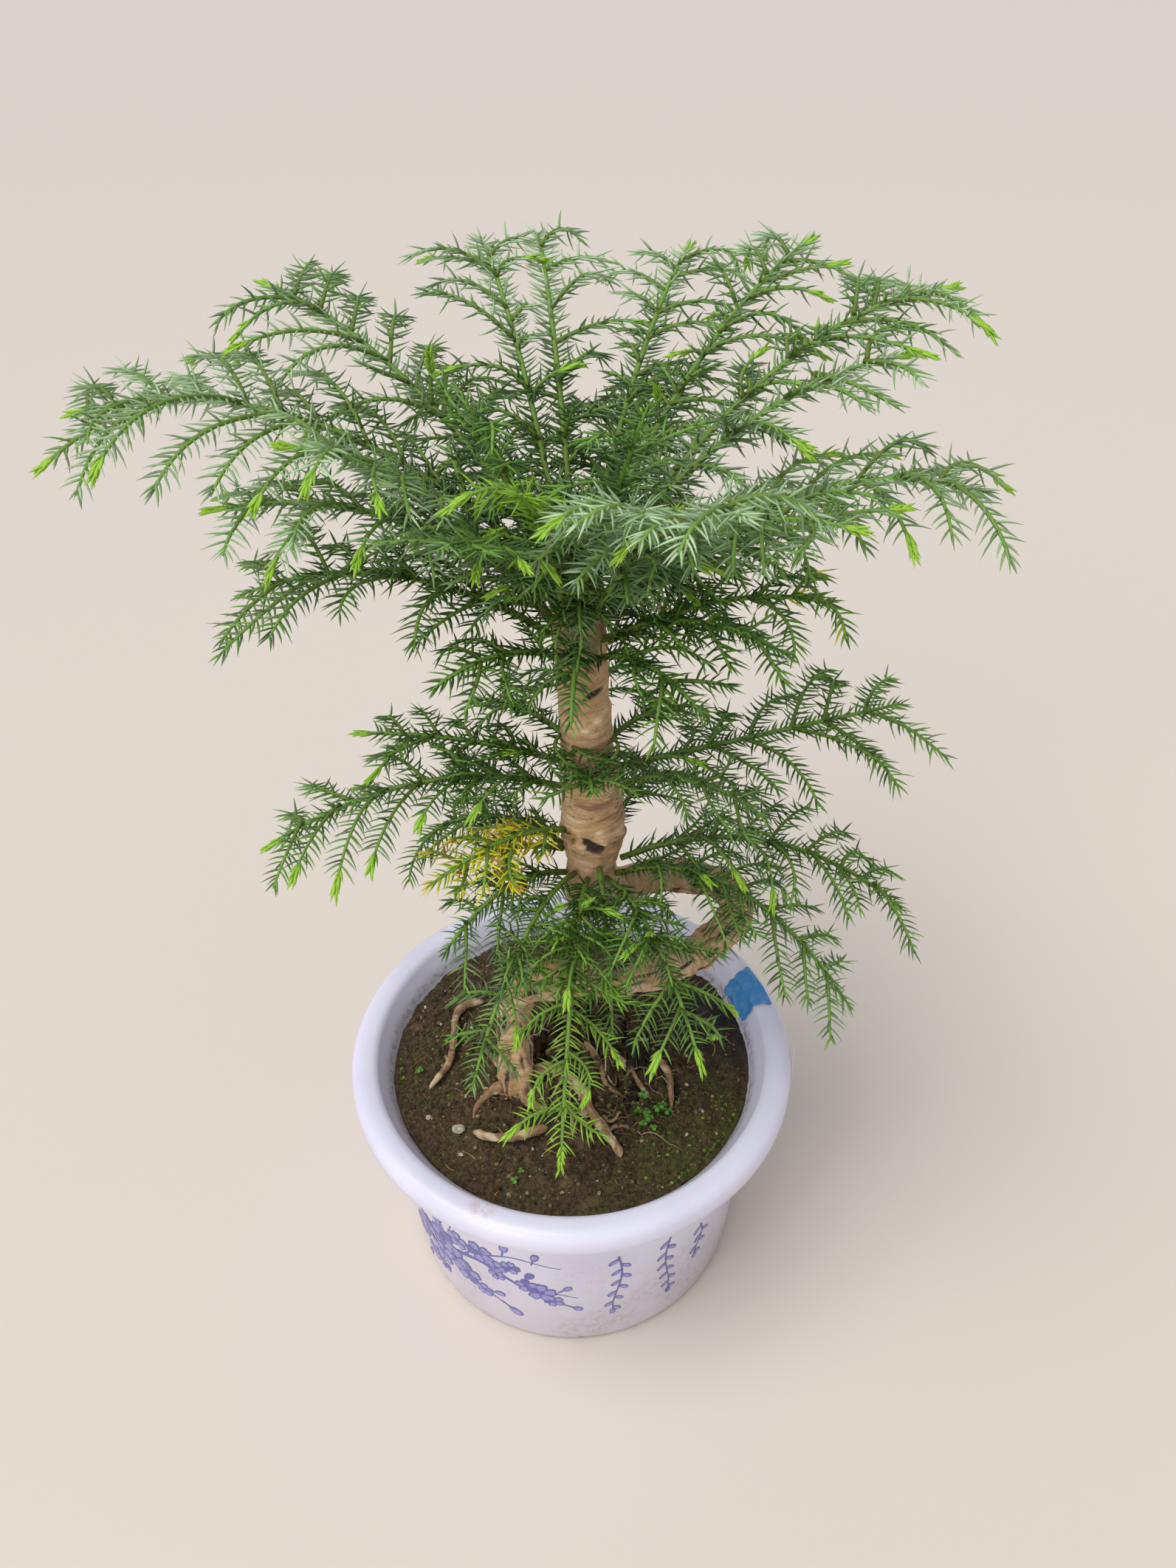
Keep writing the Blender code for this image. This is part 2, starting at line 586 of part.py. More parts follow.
def make_pebble():
    """A small pale stone on the soil."""
    x, y, size = PEBBLE
    data = bmesh.new()
    bmesh.ops.create_icosphere(data, subdivisions=2, radius=size)
    for vert in data.verts:
        vert.co = Vector((vert.co.x * 1.2, vert.co.y * 0.9, vert.co.z * 0.6))
        vert.co += Vector((x, y, soil_height(x, y) + size * 0.6 + ROOT_LIFT))
    add_object("pebble", data, "stone")


def make_seedling():
    """A clover-like weed: a thin stalk under three leaflets."""
    x, y, height, leaf = SEEDLING
    base = soil_height(x, y) + ROOT_LIFT
    data = bmesh.new()
    rim = []
    for i in range(24):
        angle = 2.0 * math.pi * i / 24
        radius = leaf * (0.28 + 0.72 * abs(math.cos(1.5 * angle)) ** 0.8)
        rim.append(Vector((x + radius * math.cos(angle), y + radius * math.sin(angle), base + height)))
    top = [data.verts.new(p + UP * 0.0007) for p in rim]
    low = [data.verts.new(p) for p in rim]
    collar = [data.verts.new(Vector((x, y, base + height)) + (p - Vector((x, y, base + height))) * 0.12)
              for p in rim]
    foot = [data.verts.new(Vector((v.co.x, v.co.y, base))) for v in collar]
    data.faces.new(top)
    data.faces.new(foot)
    for outer, inner in ((top, low), (low, collar), (collar, foot)):
        for i in range(24):
            j = (i + 1) % 24
            data.faces.new((outer[i], outer[j], inner[j], inner[i]))
    add_object("weed_seedling", data, "seedling")


clear_scene()
make_pot()
make_soil()
make_stem()
make_branches()
make_roots()
make_tape()
make_pebble()
make_seedling()
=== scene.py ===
"""The looks of a potted araucaria: needles, bark, soil and a printed plastic pot.

Every length is in metres, +Z is up, and the origin is the centre of the pot's underside. Bearings
are degrees from +X towards +Y. Each class makes the pieces of one sub-assembly.
"""
from __future__ import annotations

import logging
import math
import random
from dataclasses import dataclass, field
from enum import Enum
from typing import Any

import bpy
import numpy as np
from mathutils import Euler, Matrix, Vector

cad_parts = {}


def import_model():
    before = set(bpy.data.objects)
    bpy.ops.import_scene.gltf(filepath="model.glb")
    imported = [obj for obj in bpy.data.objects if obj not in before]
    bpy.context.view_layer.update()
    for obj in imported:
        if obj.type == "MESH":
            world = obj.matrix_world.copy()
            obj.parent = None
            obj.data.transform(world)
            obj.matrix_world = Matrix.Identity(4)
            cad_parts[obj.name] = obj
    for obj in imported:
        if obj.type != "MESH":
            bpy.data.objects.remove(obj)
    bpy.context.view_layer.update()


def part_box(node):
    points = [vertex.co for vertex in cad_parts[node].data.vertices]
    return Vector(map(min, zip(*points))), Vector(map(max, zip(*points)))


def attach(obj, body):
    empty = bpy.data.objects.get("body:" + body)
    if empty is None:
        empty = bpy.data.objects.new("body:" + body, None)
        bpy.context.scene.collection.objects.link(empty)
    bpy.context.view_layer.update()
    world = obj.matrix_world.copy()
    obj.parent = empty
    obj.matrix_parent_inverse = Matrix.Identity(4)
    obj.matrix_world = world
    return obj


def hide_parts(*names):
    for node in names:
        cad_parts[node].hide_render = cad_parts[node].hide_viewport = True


LOG = logging.getLogger("potted_araucaria")
BODY = "root"
BAKE_MAP = "OFBake"
GOLDEN_ANGLE = math.radians(137.508)
UP = Vector((0.0, 0.0, 1.0))
NOT_ALONG = np.array([0.11, 0.07, 0.99])  # a direction that no twig follows

Colour = tuple[float, float, float]


def tint(red: float, green: float, blue: float) -> Colour:
    """Turn an everyday colour into a linear one with the screen's power curve.

    Args:
        red: Red from 0 to 255.
        green: Green from 0 to 255.
        blue: Blue from 0 to 255.

    Returns:
        The three linear values, from 0 to 1.
    """
    share = np.array([red, green, blue]) / 255.0
    linear = np.where(share <= 0.04045, share / 12.92, ((share + 0.055) / 1.055) ** 2.4)
    return tuple(float(value) for value in linear)


# ---------------------------------------------------------------- shader writing


class Value:
    """A shader socket that takes part in ordinary sums."""

    def __init__(self, shader: Shader, socket: bpy.types.NodeSocket) -> None:
        """Keep the socket and the shader that it belongs to."""
        self.shader = shader
        self.socket = socket

    def __add__(self, other: Value | float) -> Value:
        """The sum."""
        return self.shader.maths("ADD", self, other)

    __radd__ = __add__

    def __sub__(self, other: Value | float) -> Value:
        """The difference."""
        return self.shader.maths("SUBTRACT", self, other)

    def __rsub__(self, other: float) -> Value:
        """The difference, from a number."""
        return self.shader.maths("SUBTRACT", other, self)

    def __mul__(self, other: Value | float) -> Value:
        """The product."""
        return self.shader.maths("MULTIPLY", self, other)

    __rmul__ = __mul__

    def rise(self, low: float, high: float) -> Value:
        """A smooth step from 0 at `low` to 1 at `high`; it falls where `low` is the larger.

        Args:
            low: where the step gives 0.
            high: where it gives 1.

        Returns:
            The stepped value.
        """
        ends = {"From Min": min(low, high), "From Max": max(low, high),
                "To Min": float(low > high), "To Max": float(low < high)}
        node = self.shader.node("ShaderNodeMapRange", {"interpolation_type": "SMOOTHSTEP"},
                                {"Value": self, **ends})
        return Value(self.shader, node.outputs["Result"])


class Shader:
    """A material with one Principled surface, and short ways to write its nodes."""

    def __init__(self, name: str) -> None:
        """Start a material of this name."""
        self.material = bpy.data.materials.new(name)
        self.material.use_nodes = True
        self.tree = self.material.node_tree
        self.surface = self.tree.nodes["Principled BSDF"]

    def node(self, kind: str, settings: dict[str, Any] | None = None,
             inputs: dict[str | int, Any] | None = None) -> bpy.types.Node:
        """Add one node.

        Args:
            kind: The node's type.
            settings: Its properties, set first. `stops` holds a ramp's places and colours.
            inputs: Values or links for its sockets.

        Returns:
            The new node.
        """
        made = self.tree.nodes.new(kind)
        for key, value in (settings or {}).items():
            if key == "stops":
                while len(made.color_ramp.elements) < len(value):
                    made.color_ramp.elements.new(0.5)
                for element, (place, colour) in zip(made.color_ramp.elements, value):
                    element.position = place
                    element.color = (*colour, 1.0)
            else:
                setattr(made, key, value)
        for key, value in (inputs or {}).items():
            self.feed(made.inputs[key], value)
        return made

    def feed(self, socket: bpy.types.NodeSocket, value: Value | float | tuple) -> None:
        """Link a socket, or set its constant; a plain colour gains its alpha.

        Args:
            socket: the input to fill.
            value: a Value, a number or a colour.
        """
        if isinstance(value, Value):
            self.tree.links.new(value.socket, socket)
        elif socket.type == "RGBA":
            socket.default_value = (*value, 1.0)
        else:
            socket.default_value = value

    def maths(self, operation: str, *terms: Value | float) -> Value:
        """One Math node on up to three terms."""
        node = self.node("ShaderNodeMath", {"operation": operation}, dict(enumerate(terms)))
        return Value(self, node.outputs[0])

    def mix(self, share: Value | float, first: Value | Colour, second: Value | Colour) -> Value:
        """The first colour where `share` is 0 and the second where it is 1."""
        node = self.node("ShaderNodeMix", {"data_type": "RGBA"}, {0: share, 6: first, 7: second})
        return Value(self, node.outputs[2])

    def ramp(self, value: Value, stops: list[tuple[float, Colour]]) -> Value:
        """A colour for each value from 0 to 1."""
        node = self.node("ShaderNodeValToRGB", {"stops": stops}, {"Fac": value})
        return Value(self, node.outputs["Color"])

    def place(self) -> Value:
        """The point's own place, in metres."""
        return Value(self, self.node("ShaderNodeTexCoord").outputs["Object"])

    def carried(self, name: str, vector: bool = False) -> Value:
        """A number, or a vector, that the mesh carries."""
        node = self.node("ShaderNodeAttribute", {"attribute_name": name})
        return Value(self, node.outputs["Vector" if vector else "Fac"])

    def axis(self, vector: Value, name: str) -> Value:
        """The X, Y or Z part of a vector."""
        return Value(self, self.node("ShaderNodeSeparateXYZ", None, {0: vector}).outputs[name])

    def stretched(self, vector: Value, factors: tuple[float, float, float]) -> Value:
        """A vector with each part multiplied by its own factor."""
        node = self.node("ShaderNodeVectorMath", {"operation": "MULTIPLY"}, {0: vector, 1: factors})
        return Value(self, node.outputs[0])

    def away(self, vector: Value, point: tuple[float, float, float]) -> Value:
        """The distance from a fixed point."""
        node = self.node("ShaderNodeVectorMath", {"operation": "DISTANCE"}, {0: vector, 1: point})
        return Value(self, node.outputs["Value"])

    def noise(self, vector: Value, scale: float, detail: float = 3.0, roughness: float = 0.5) -> Value:
        """Cloudy noise from 0 to 1, `scale` clouds to a unit of length.

        Args:
            vector: where the noise is read.
            scale: clouds to a unit of length.
            detail: layers of finer cloud.
            roughness: weight of the finer layers.

        Returns:
            The noise.
        """
        node = self.node("ShaderNodeTexNoise", None, {"Vector": vector, "Scale": scale,
                                                     "Detail": detail, "Roughness": roughness})
        return Value(self, node.outputs[0])

    def grains(self, vector: Value, scale: float) -> Value:
        """Distance to the nearest of many scattered grains, 0 at a grain."""
        node = self.node("ShaderNodeTexVoronoi", None, {"Vector": vector, "Scale": scale})
        return Value(self, node.outputs["Distance"])

    def relief(self, height: Value, depth: float, strength: float = 1.0) -> Value:
        """A bumped normal, `depth` metres deep where the height goes from 0 to 1.

        Args:
            height: the height, from 0 to 1.
            depth: its depth in metres.
            strength: share of the bump that is used.

        Returns:
            The bumped normal.
        """
        node = self.node("ShaderNodeBump", None, {"Height": height, "Distance": depth,
                                                  "Strength": strength})
        return Value(self, node.outputs["Normal"])

    def dress(self, **sockets: Value | float | Colour) -> bpy.types.Material:
        """Feed the surface's sockets, named with `_` for a space, and return the material.

        Args:
            **sockets: what each input of the surface is fed.

        Returns:
            The finished material.
        """
        for name, value in sockets.items():
            self.feed(self.surface.inputs[name.replace("_", " ").title().replace("Ior", "IOR")], value)
        return self.material


# ---------------------------------------------------------------- finishes


@dataclass(frozen=True)
class GlossPlastic:
    """The pot's white plastic, faintly lavender, with soil splashed inside and handling marks."""

    body: Colour = tint(232, 230, 250)
    shade: Colour = tint(212, 209, 232)
    # dust and painted shade: the warm dark tone mixed in towards the foot
    dust_and_shade_tint: Colour = tint(170, 156, 150)
    dirt: Colour = tint(112, 98, 84)
    stain: Colour = tint(206, 178, 168)
    stain_place: tuple[float, float, float] = (-0.0476, -0.1172, 0.1670)
    chip_place: tuple[float, float, float] = (0.0057, -0.1085, 0.0030)
    gloss: float = 0.32
    mouth: float = 0.1232
    foot: float = 0.0045

    def make(self) -> bpy.types.Material:
        """Clouded white, brown near the soil and the foot, darker and warmer down to the foot as dust and
        painted shade, with fine scratches in the gloss.

        Returns:
            The material.
        """
        shader = Shader("gloss_plastic")
        place = shader.place()
        clouds = shader.noise(place, 16.0, 4.0)
        specks = shader.noise(place, 240.0, 5.0, 0.7)
        scratch = shader.noise(shader.stretched(place, (60.0, 60.0, 900.0)), 1.0, 2.0)
        level = shader.stretched(place, (1.0, 1.0, 0.0))
        inside = shader.away(level, (0.0, 0.0, 0.0)).rise(self.mouth, self.mouth - 0.0012)
        height = shader.axis(place, "Z")
        near_soil = height.rise(0.1600, 0.1535) * height.rise(0.1512, 0.1524)
        splash = inside * near_soil * (0.25 + 0.45 * specks.rise(0.42, 0.66))
        foot = height.rise(self.foot, 0.0) * specks.rise(0.42, 0.60) * 0.75
        smear = shader.away(place, self.stain_place).rise(0.013, 0.002) * specks.rise(0.44, 0.60) * 0.7
        chip = shader.away(place, self.chip_place).rise(0.0034, 0.0016)
        # dust and painted shade: the wall turns darker and warmer from the lip down to the foot
        dust_and_shade = height.rise(0.150, 0.0) * (0.46 + 0.40 * specks.rise(0.40, 0.70) * clouds.rise(0.40, 0.60))
        worn = clouds.rise(0.42, 0.72) * 0.5
        colour = shader.mix(worn, self.body, self.shade)
        colour = shader.mix(dust_and_shade, colour, self.dust_and_shade_tint)
        colour = shader.mix(smear, colour, self.stain)
        colour = shader.mix(splash, colour, self.dirt)
        colour = shader.mix(shader.maths("MAXIMUM", foot, chip), colour, self.dirt)
        rough = self.gloss + 0.10 * worn + 0.12 * scratch.rise(0.62, 0.74) + 0.4 * splash + 0.4 * foot
        return shader.dress(base_color=colour, roughness=rough,
                            normal=shader.relief(clouds + 0.15 * specks, 0.0004, 0.35),
                            coat_weight=0.12, coat_roughness=0.12)


@dataclass(frozen=True)
class PrintInk:
    """The blue print on the pot: a pale wash inside darker lines, a little worn."""

    wash: Colour = tint(150, 150, 206)
    line: Colour = tint(100, 98, 170)
    bare: Colour = tint(196, 194, 222)

    def make(self) -> bpy.types.Material:
        """Wash where `ink` is 0 and line where it is 1, broken by fine specks.

        Returns:
            The material.
        """
        shader = Shader("print_ink")
        place = shader.place()
        patchy = shader.noise(place, 420.0, 3.0, 0.6)
        ink = shader.carried("ink")
        colour = shader.mix(ink.rise(0.35, 0.65), self.wash, self.line)
        colour = shader.mix(patchy.rise(0.60, 0.74) * 0.45, colour, self.bare)
        return shader.dress(base_color=colour, roughness=0.28 + 0.10 * patchy)


@dataclass(frozen=True)
class Bark:
    """Thin tan bark: blotched, folded into rings where the mesh says so, dark in its scars and in the painted
    shade that the mesh carries.
    """

    name: str = "bark"
    tan: Colour = tint(218, 180, 140)
    brown: Colour = tint(142, 104, 74)
    gold: Colour = tint(196, 156, 112)
    dark: Colour = tint(50, 34, 28)
    pale: Colour = tint(240, 214, 184)
    grain: tuple[float, float, float] = (34.0, 34.0, 340.0)
    depth: float = 0.0012

    def make(self) -> bpy.types.Material:
        """Folds run along the stretched noise, their ridges painted lighter and their furrows browner, partly
        the bark's own banding and partly painted highlight and shade; blotches, fibres and flecks lie over
        them.

        Returns:
            The material.
        """
        shader = Shader(self.name)
        grain = shader.carried("grain", vector=True)
        ringed = shader.carried("ringed")
        folds = shader.noise(shader.stretched(grain, self.grain), 1.0, 3.0, 0.55)
        blotches = shader.noise(grain, 60.0, 4.0, 0.6)
        flecks = shader.noise(grain, 520.0, 4.0, 0.65)
        cracks = shader.maths("ABSOLUTE", folds - 0.5).rise(0.030, 0.0) * blotches.rise(0.40, 0.58)
        # the mesh's scar numbers hold real scars and also painted shade under the roots and in the collar
        # groove
        scar = shader.carried("scar") * (0.55 + 0.9 * flecks)
        pale = shader.carried("pale") * (0.6 + 0.8 * flecks)
        colour = shader.mix(blotches.rise(0.36, 0.64), self.gold, self.tan)
        # painted highlight and shade: fold ridges pale and fold furrows brown, on the same noise as the bump
        colour = shader.mix(folds.rise(0.52, 0.68) * (0.20 + 0.6 * ringed), colour, self.pale)
        colour = shader.mix(folds.rise(0.47, 0.34) * (0.35 + 0.6 * ringed), colour, self.brown)
        colour = shader.mix(flecks.rise(0.54, 0.70) * 0.65, colour, self.brown)
        colour = shader.mix(cracks * (0.20 + 0.8 * ringed), colour, self.dark)
        colour = shader.mix(pale.rise(0.2, 0.9), colour, self.pale)
        colour = shader.mix(scar.rise(0.20, 1.0), colour, self.dark)
        height = folds * (0.25 + 0.75 * ringed) + 0.45 * blotches + 0.25 * flecks
        return shader.dress(base_color=colour, roughness=0.62 + 0.25 * flecks,
                            normal=shader.relief(height, self.depth, 1.0))


@dataclass(frozen=True)
class Earth:
    """Potting soil: dark crumbs, algae-green and wet patches, with painted shade in the hollows by the root
    crown.
    """

    dark: Colour = tint(50, 38, 25)
    brown: Colour = tint(98, 77, 50)
    dry: Colour = tint(134, 112, 80)
    moss: Colour = tint(76, 80, 28)
    wet: Colour = tint(26, 21, 18)
    # painted shade: the near-black of the hollows round the root crown
    hollow_shade: Colour = tint(22, 15, 11)
    hollow_shade_place: tuple[float, float, float] = (0.016, -0.020, 0.165)
    wet_place: tuple[float, float, float] = (0.096, 0.026, 0.152)
    moss_place: tuple[float, float, float] = (0.075, -0.066, 0.155)

    def make(self) -> bpy.types.Material:
        """Layers of noise at the scale of lumps, crumbs and grains.

        Returns:
            The material.
        """
        shader = Shader("earth")
        place = shader.place()
        lumps = shader.noise(place, 70.0, 5.0, 0.62)
        crumbs = shader.noise(place, 420.0, 5.0, 0.68)
        patches = shader.noise(place, 34.0, 3.0)
        grains = shader.grains(place, 620.0)
        wet = shader.away(place, self.wet_place).rise(0.045, 0.018)
        green = shader.away(place, self.moss_place).rise(0.085, 0.020)
        colour = shader.mix(crumbs.rise(0.36, 0.64), self.dark, self.brown)
        colour = shader.mix(lumps.rise(0.56, 0.76) * 0.6, colour, self.dry)
        mossy = patches.rise(0.50, 0.68) * 0.55 + green * patches.rise(0.34, 0.56) * 0.75
        colour = shader.mix(mossy * crumbs.rise(0.36, 0.55), colour, self.moss)
        colour = shader.mix(wet * 0.85, colour, self.wet)
        # painted shade: near-black in the low lumps round the root crown
        hollow_shade = shader.away(place, self.hollow_shade_place).rise(0.062, 0.030) * lumps.rise(0.52, 0.40)
        colour = shader.mix(hollow_shade * 0.85, colour, self.hollow_shade)
        height = lumps + 0.7 * crumbs + 0.25 * grains
        return shader.dress(base_color=colour, roughness=0.92 - 0.45 * wet,
                            normal=shader.relief(height, 0.0022, 1.0))


@dataclass(frozen=True)
class Needles:
    """The needles' skin: deep green, with a waxy bloom, fresh tips and a few that have died."""

    deep: Colour = tint(34, 78, 4)
    leaf: Colour = tint(112, 168, 26)
    bloom: Colour = tint(186, 214, 170)
    fresh: Colour = tint(158, 204, 62)
    gold: Colour = tint(236, 226, 50)
    dead: Colour = tint(186, 112, 50)
    tip: Colour = tint(150, 150, 76)

    def make(self) -> bpy.types.Material:
        """Each needle's own numbers choose its green; its point turns straw-coloured.

        Returns:
            The material.
        """
        shader = Shader("needles")
        lot = shader.carried("lot")
        along = shader.carried("along")
        colour = shader.mix(lot.rise(0.0, 1.0), self.deep, self.leaf)
        colour = shader.mix(shader.carried("bloom"), colour, self.bloom)
        colour = shader.mix(shader.carried("fresh"), colour, self.fresh)
        yellow = shader.carried("gold")
        colour = shader.mix(yellow.rise(0.0, 0.5), colour, self.gold)
        colour = shader.mix(yellow.rise(0.6, 1.0), colour, self.dead)
        colour = shader.mix(along.rise(0.86, 1.0) * 0.6, colour, self.tip)
        return shader.dress(base_color=colour, roughness=0.46 - 0.10 * along, specular_ior_level=0.40)


@dataclass(frozen=True)
class GreenTwig:
    """The twigs' own skin: yellow-green, browner where it is old."""

    young: Colour = tint(122, 168, 66)
    old: Colour = tint(98, 120, 42)

    def make(self) -> bpy.types.Material:
        """Young green towards the tips, streaked by leaf bases.

        Returns:
            The material.
        """
        shader = Shader("green_twig")
        place = shader.place()
        streaks = shader.noise(place, 900.0, 3.0, 0.6)
        colour = shader.mix(shader.carried("along"), self.old, self.young)
        colour = shader.mix(streaks.rise(0.50, 0.70) * 0.5, colour, self.old)
        return shader.dress(base_color=colour, roughness=0.60,
                            normal=shader.relief(streaks, 0.0003, 0.8))


@dataclass(frozen=True)
class Scatter:
    """Small things on the soil, coloured one by one along a ramp."""

    name: str
    stops: tuple[tuple[float, Colour], ...]
    roughness: float = 0.85

    def make(self) -> bpy.types.Material:
        """The mesh's `lot` picks each grain's colour, mottled a little.

        Returns:
            The material.
        """
        shader = Shader(self.name)
        mottle = shader.noise(shader.place(), 1500.0, 2.0)
        stops = [(place, tint(*colour)) for place, colour in self.stops]
        colour = shader.ramp(shader.carried("lot") + 0.16 * (mottle - 0.5), stops)
        return shader.dress(base_color=colour, roughness=self.roughness,
                            normal=shader.relief(mottle, 0.0003, 0.8))


@dataclass(frozen=True)
class Film:
    """Blue plastic tape, creased and faded where it was pressed down."""

    blue: Colour = tint(60, 140, 212)
    faded: Colour = tint(96, 158, 214)

    def make(self) -> bpy.types.Material:
        """Creases lighten the blue and break its gloss.

        Returns:
            The material.
        """
        shader = Shader("tape_film")
        place = shader.place()
        crease = shader.noise(place, 160.0, 4.0, 0.6)
        colour = shader.mix(crease.rise(0.44, 0.66), self.blue, self.faded)
        return shader.dress(base_color=colour, roughness=0.30 + 0.25 * crease,
                            normal=shader.relief(crease, 0.0006, 0.8))


@dataclass(frozen=True)
class Floor:
    """The plain pale floor under the studio."""

    cream: Colour = tint(226, 216, 206)
    roughness: float = 0.45

    def make(self) -> bpy.types.Material:
        """One even colour."""
        return Shader("floor").dress(base_color=self.cream, roughness=self.roughness)


# ---------------------------------------------------------------- shape writing


def unit(vectors: np.ndarray) -> np.ndarray:
    """Vectors of length one: each divided by the root of the sum of its squares."""
    return vectors / np.maximum(np.linalg.norm(vectors, axis=-1, keepdims=True), 1e-12)


def waves(points: np.ndarray, size: float, seed: int, count: int = 16) -> np.ndarray:
    """Soft bumps: the sum of sine waves that run in random directions.

    Args:
        points: Places, (n, 3).
        size: The usual wavelength.
        seed: Which bumps.
        count: How many waves are added.

    Returns:
        A number for each point, mostly from -1 to 1.
    """
    chance = np.random.default_rng(seed)
    runs = unit(chance.normal(size=(count, 3))) / (size * chance.uniform(0.6, 1.8, (count, 1)))
    phases = chance.uniform(0.0, 2.0 * np.pi, count)
    return np.sin(points @ runs.T * 2.0 * np.pi + phases).sum(1) / math.sqrt(count)


def smooth_step(values: np.ndarray, low: float, high: float) -> np.ndarray:
    """0 below `low`, 1 above `high`, and 3t^2 - 2t^3 between."""
    t = np.clip((values - low) / (high - low), 0.0, 1.0)
    return t * t * (3.0 - 2.0 * t)


def bell(values: np.ndarray, width: float) -> np.ndarray:
    """1 at 0, falling as exp(-(value / width)^2)."""
    return np.exp(-(values / width) ** 2)


def catmull(points: np.ndarray, steps: int) -> np.ndarray:
    """A smooth curve through the rows, by the Catmull-Rom cubic with `steps` spans for each row.

    Args:
        points: the rows to pass through.
        steps: spans between two rows.

    Returns:
        The smooth rows.
    """
    padded = np.concatenate([2 * points[:1] - points[1:2], points, 2 * points[-1:] - points[-2:-1]])
    a, b, c, d = (padded[i:len(padded) - 3 + i, None, :] for i in range(4))
    t = (np.arange(steps) / steps)[None, :, None]
    curve = 0.5 * (2 * b + (c - a) * t + (2 * a - 5 * b + 4 * c - d) * t ** 2
                   + (3 * b - a - 3 * c + d) * t ** 3)
    return np.concatenate([curve.reshape(-1, points.shape[1]), points[-1:]])


def distances(path: np.ndarray) -> np.ndarray:
    """Length along a path at each of its points: the running sum of its steps."""
    steps = np.linalg.norm(np.diff(path, axis=0), axis=1)
    return np.concatenate([[0.0], np.cumsum(steps)])


def grid_faces(rows: int, columns: int, round_: bool = False) -> np.ndarray:
    """Quads between neighbouring rows of points; `round_` joins the last column to the first.

    Args:
        rows: rows of points.
        columns: points in a row.
        round_: whether the rows close on themselves.

    Returns:
        The quads, as rows of point numbers.
    """
    here = np.arange(columns if round_ else columns - 1)
    there = (here + 1) % columns
    start = np.arange(rows - 1)[:, None] * columns
    return np.stack([start + here, start + there, start + there + columns, start + here + columns],
                    -1).reshape(-1, 4)


def tube_faces(tubes: int, rings: int, sides: int) -> tuple[np.ndarray, np.ndarray]:
    """The side quads and the end caps of many equal tubes whose rings turn about their path.

    Args:
        tubes: number of tubes.
        rings: rings in each.
        sides: points in each ring.

    Returns:
        The side quads and the end caps.
    """
    first = np.arange(tubes)[:, None] * rings * sides
    walls = (first[:, :, None] + grid_faces(rings, sides, True).reshape(1, -1, 4)).reshape(-1, 4)
    starts = first + np.arange(sides)[::-1]
    ends = first + (rings - 1) * sides + np.arange(sides)
    return walls, np.concatenate([starts, ends])


def straight_frames(along: np.ndarray, hint: np.ndarray) -> tuple[np.ndarray, np.ndarray]:
    """Two directions square to each path direction, the first one also square to `hint`."""
    across = unit(np.cross(along, hint))
    return across, np.cross(along, across)


def carried_frames(path: np.ndarray) -> tuple[np.ndarray, np.ndarray, np.ndarray]:
    """Directions along a path and two square to it that turn as little as they can.

    Each ring takes the last ring's side direction, less its part along the new direction.

    Args:
        path: points of the path.

    Returns:
        The tangents and the two directions square to them.
    """
    along = unit(np.gradient(path, axis=0))
    across = np.empty_like(path)
    side = unit(np.cross(along[0], (0.0, 1.0, 0.0)))
    for i, direction in enumerate(along):
        side = unit(side - direction * (side @ direction))
        across[i] = side
    return along, across, np.cross(along, across)


def circle(sides: int) -> tuple[np.ndarray, np.ndarray]:
    """Even angles round a circle, and the (cos, sin) of each."""
    turn = np.arange(sides) * 2.0 * np.pi / sides
    return turn, np.stack([np.cos(turn), np.sin(turn)], -1)


def limb_grain(ring: np.ndarray, radius: np.ndarray, run: np.ndarray) -> np.ndarray:
    """Places on a limb drawn out straight: the first two numbers go round it, the third along it.

    Args:
        ring: The (cos, sin) of each side, (sides, 2).
        radius: The limb's radius at each ring.
        run: The length along it at each ring.

    Returns:
        Places, (rings x sides, 3).
    """
    round_it = ring[None] * radius[:, None, None]
    along_it = np.broadcast_to(run[:, None, None], (*round_it.shape[:2], 1))
    return np.concatenate([round_it, along_it], -1).reshape(-1, 3)


def closed_rings(body: np.ndarray, low: float, high: float) -> tuple[np.ndarray, list[np.ndarray]]:
    """A turned body's points and faces, closed at both ends by a fan to a pole on the axis.

    Args:
        body: Rings of points about Z, (rings, sides, 3).
        low: Height of the first ring's pole.
        high: Height of the last ring's pole.

    Returns:
        The points, (n, 3), and the arrays of faces.
    """
    rows, sides = body.shape[:2]
    last = rows * sides
    here = np.arange(sides)
    there = (here + 1) % sides
    under = np.stack([there, here, np.full(sides, last)], -1)
    above = np.stack([here, there, np.full(sides, last + 1)], -1)
    above[:, :2] += last - sides
    points = np.concatenate([body.reshape(-1, 3), [(0.0, 0.0, low), (0.0, 0.0, high)]])
    return points, [grid_faces(rows, sides, True), under, above]


def quadratic(curve: tuple, t: Any) -> tuple[Any, Any]:
    """A quadratic curve's point, (1-t)^2 a + 2t(1-t) b + t^2 c, and slope, (1-t)(b-a) + t(c-b)."""
    a, b, c = curve
    return a * (1 - t) ** 2 + b * (2 * t * (1 - t)) + c * t ** 2, (b - a) * (1 - t) + (c - b) * t


def thin_tubes(paths: np.ndarray, radii: np.ndarray, sides: int) -> np.ndarray:
    """Points of many round tubes.

    Args:
        paths: Centre lines, (tubes, rings, 3).
        radii: Radius at each ring, (tubes, rings).
        sides: Points in each ring.

    Returns:
        Points, (tubes, rings, sides, 3): centre + radius (across cos + over sin).
    """
    along = unit(np.gradient(paths, axis=1))
    across, over = straight_frames(along, NOT_ALONG)
    turn, _ = circle(sides)
    ring = across[:, :, None] * np.cos(turn)[:, None] + over[:, :, None] * np.sin(turn)[:, None]
    return paths[:, :, None] + ring * radii[:, :, None, None]


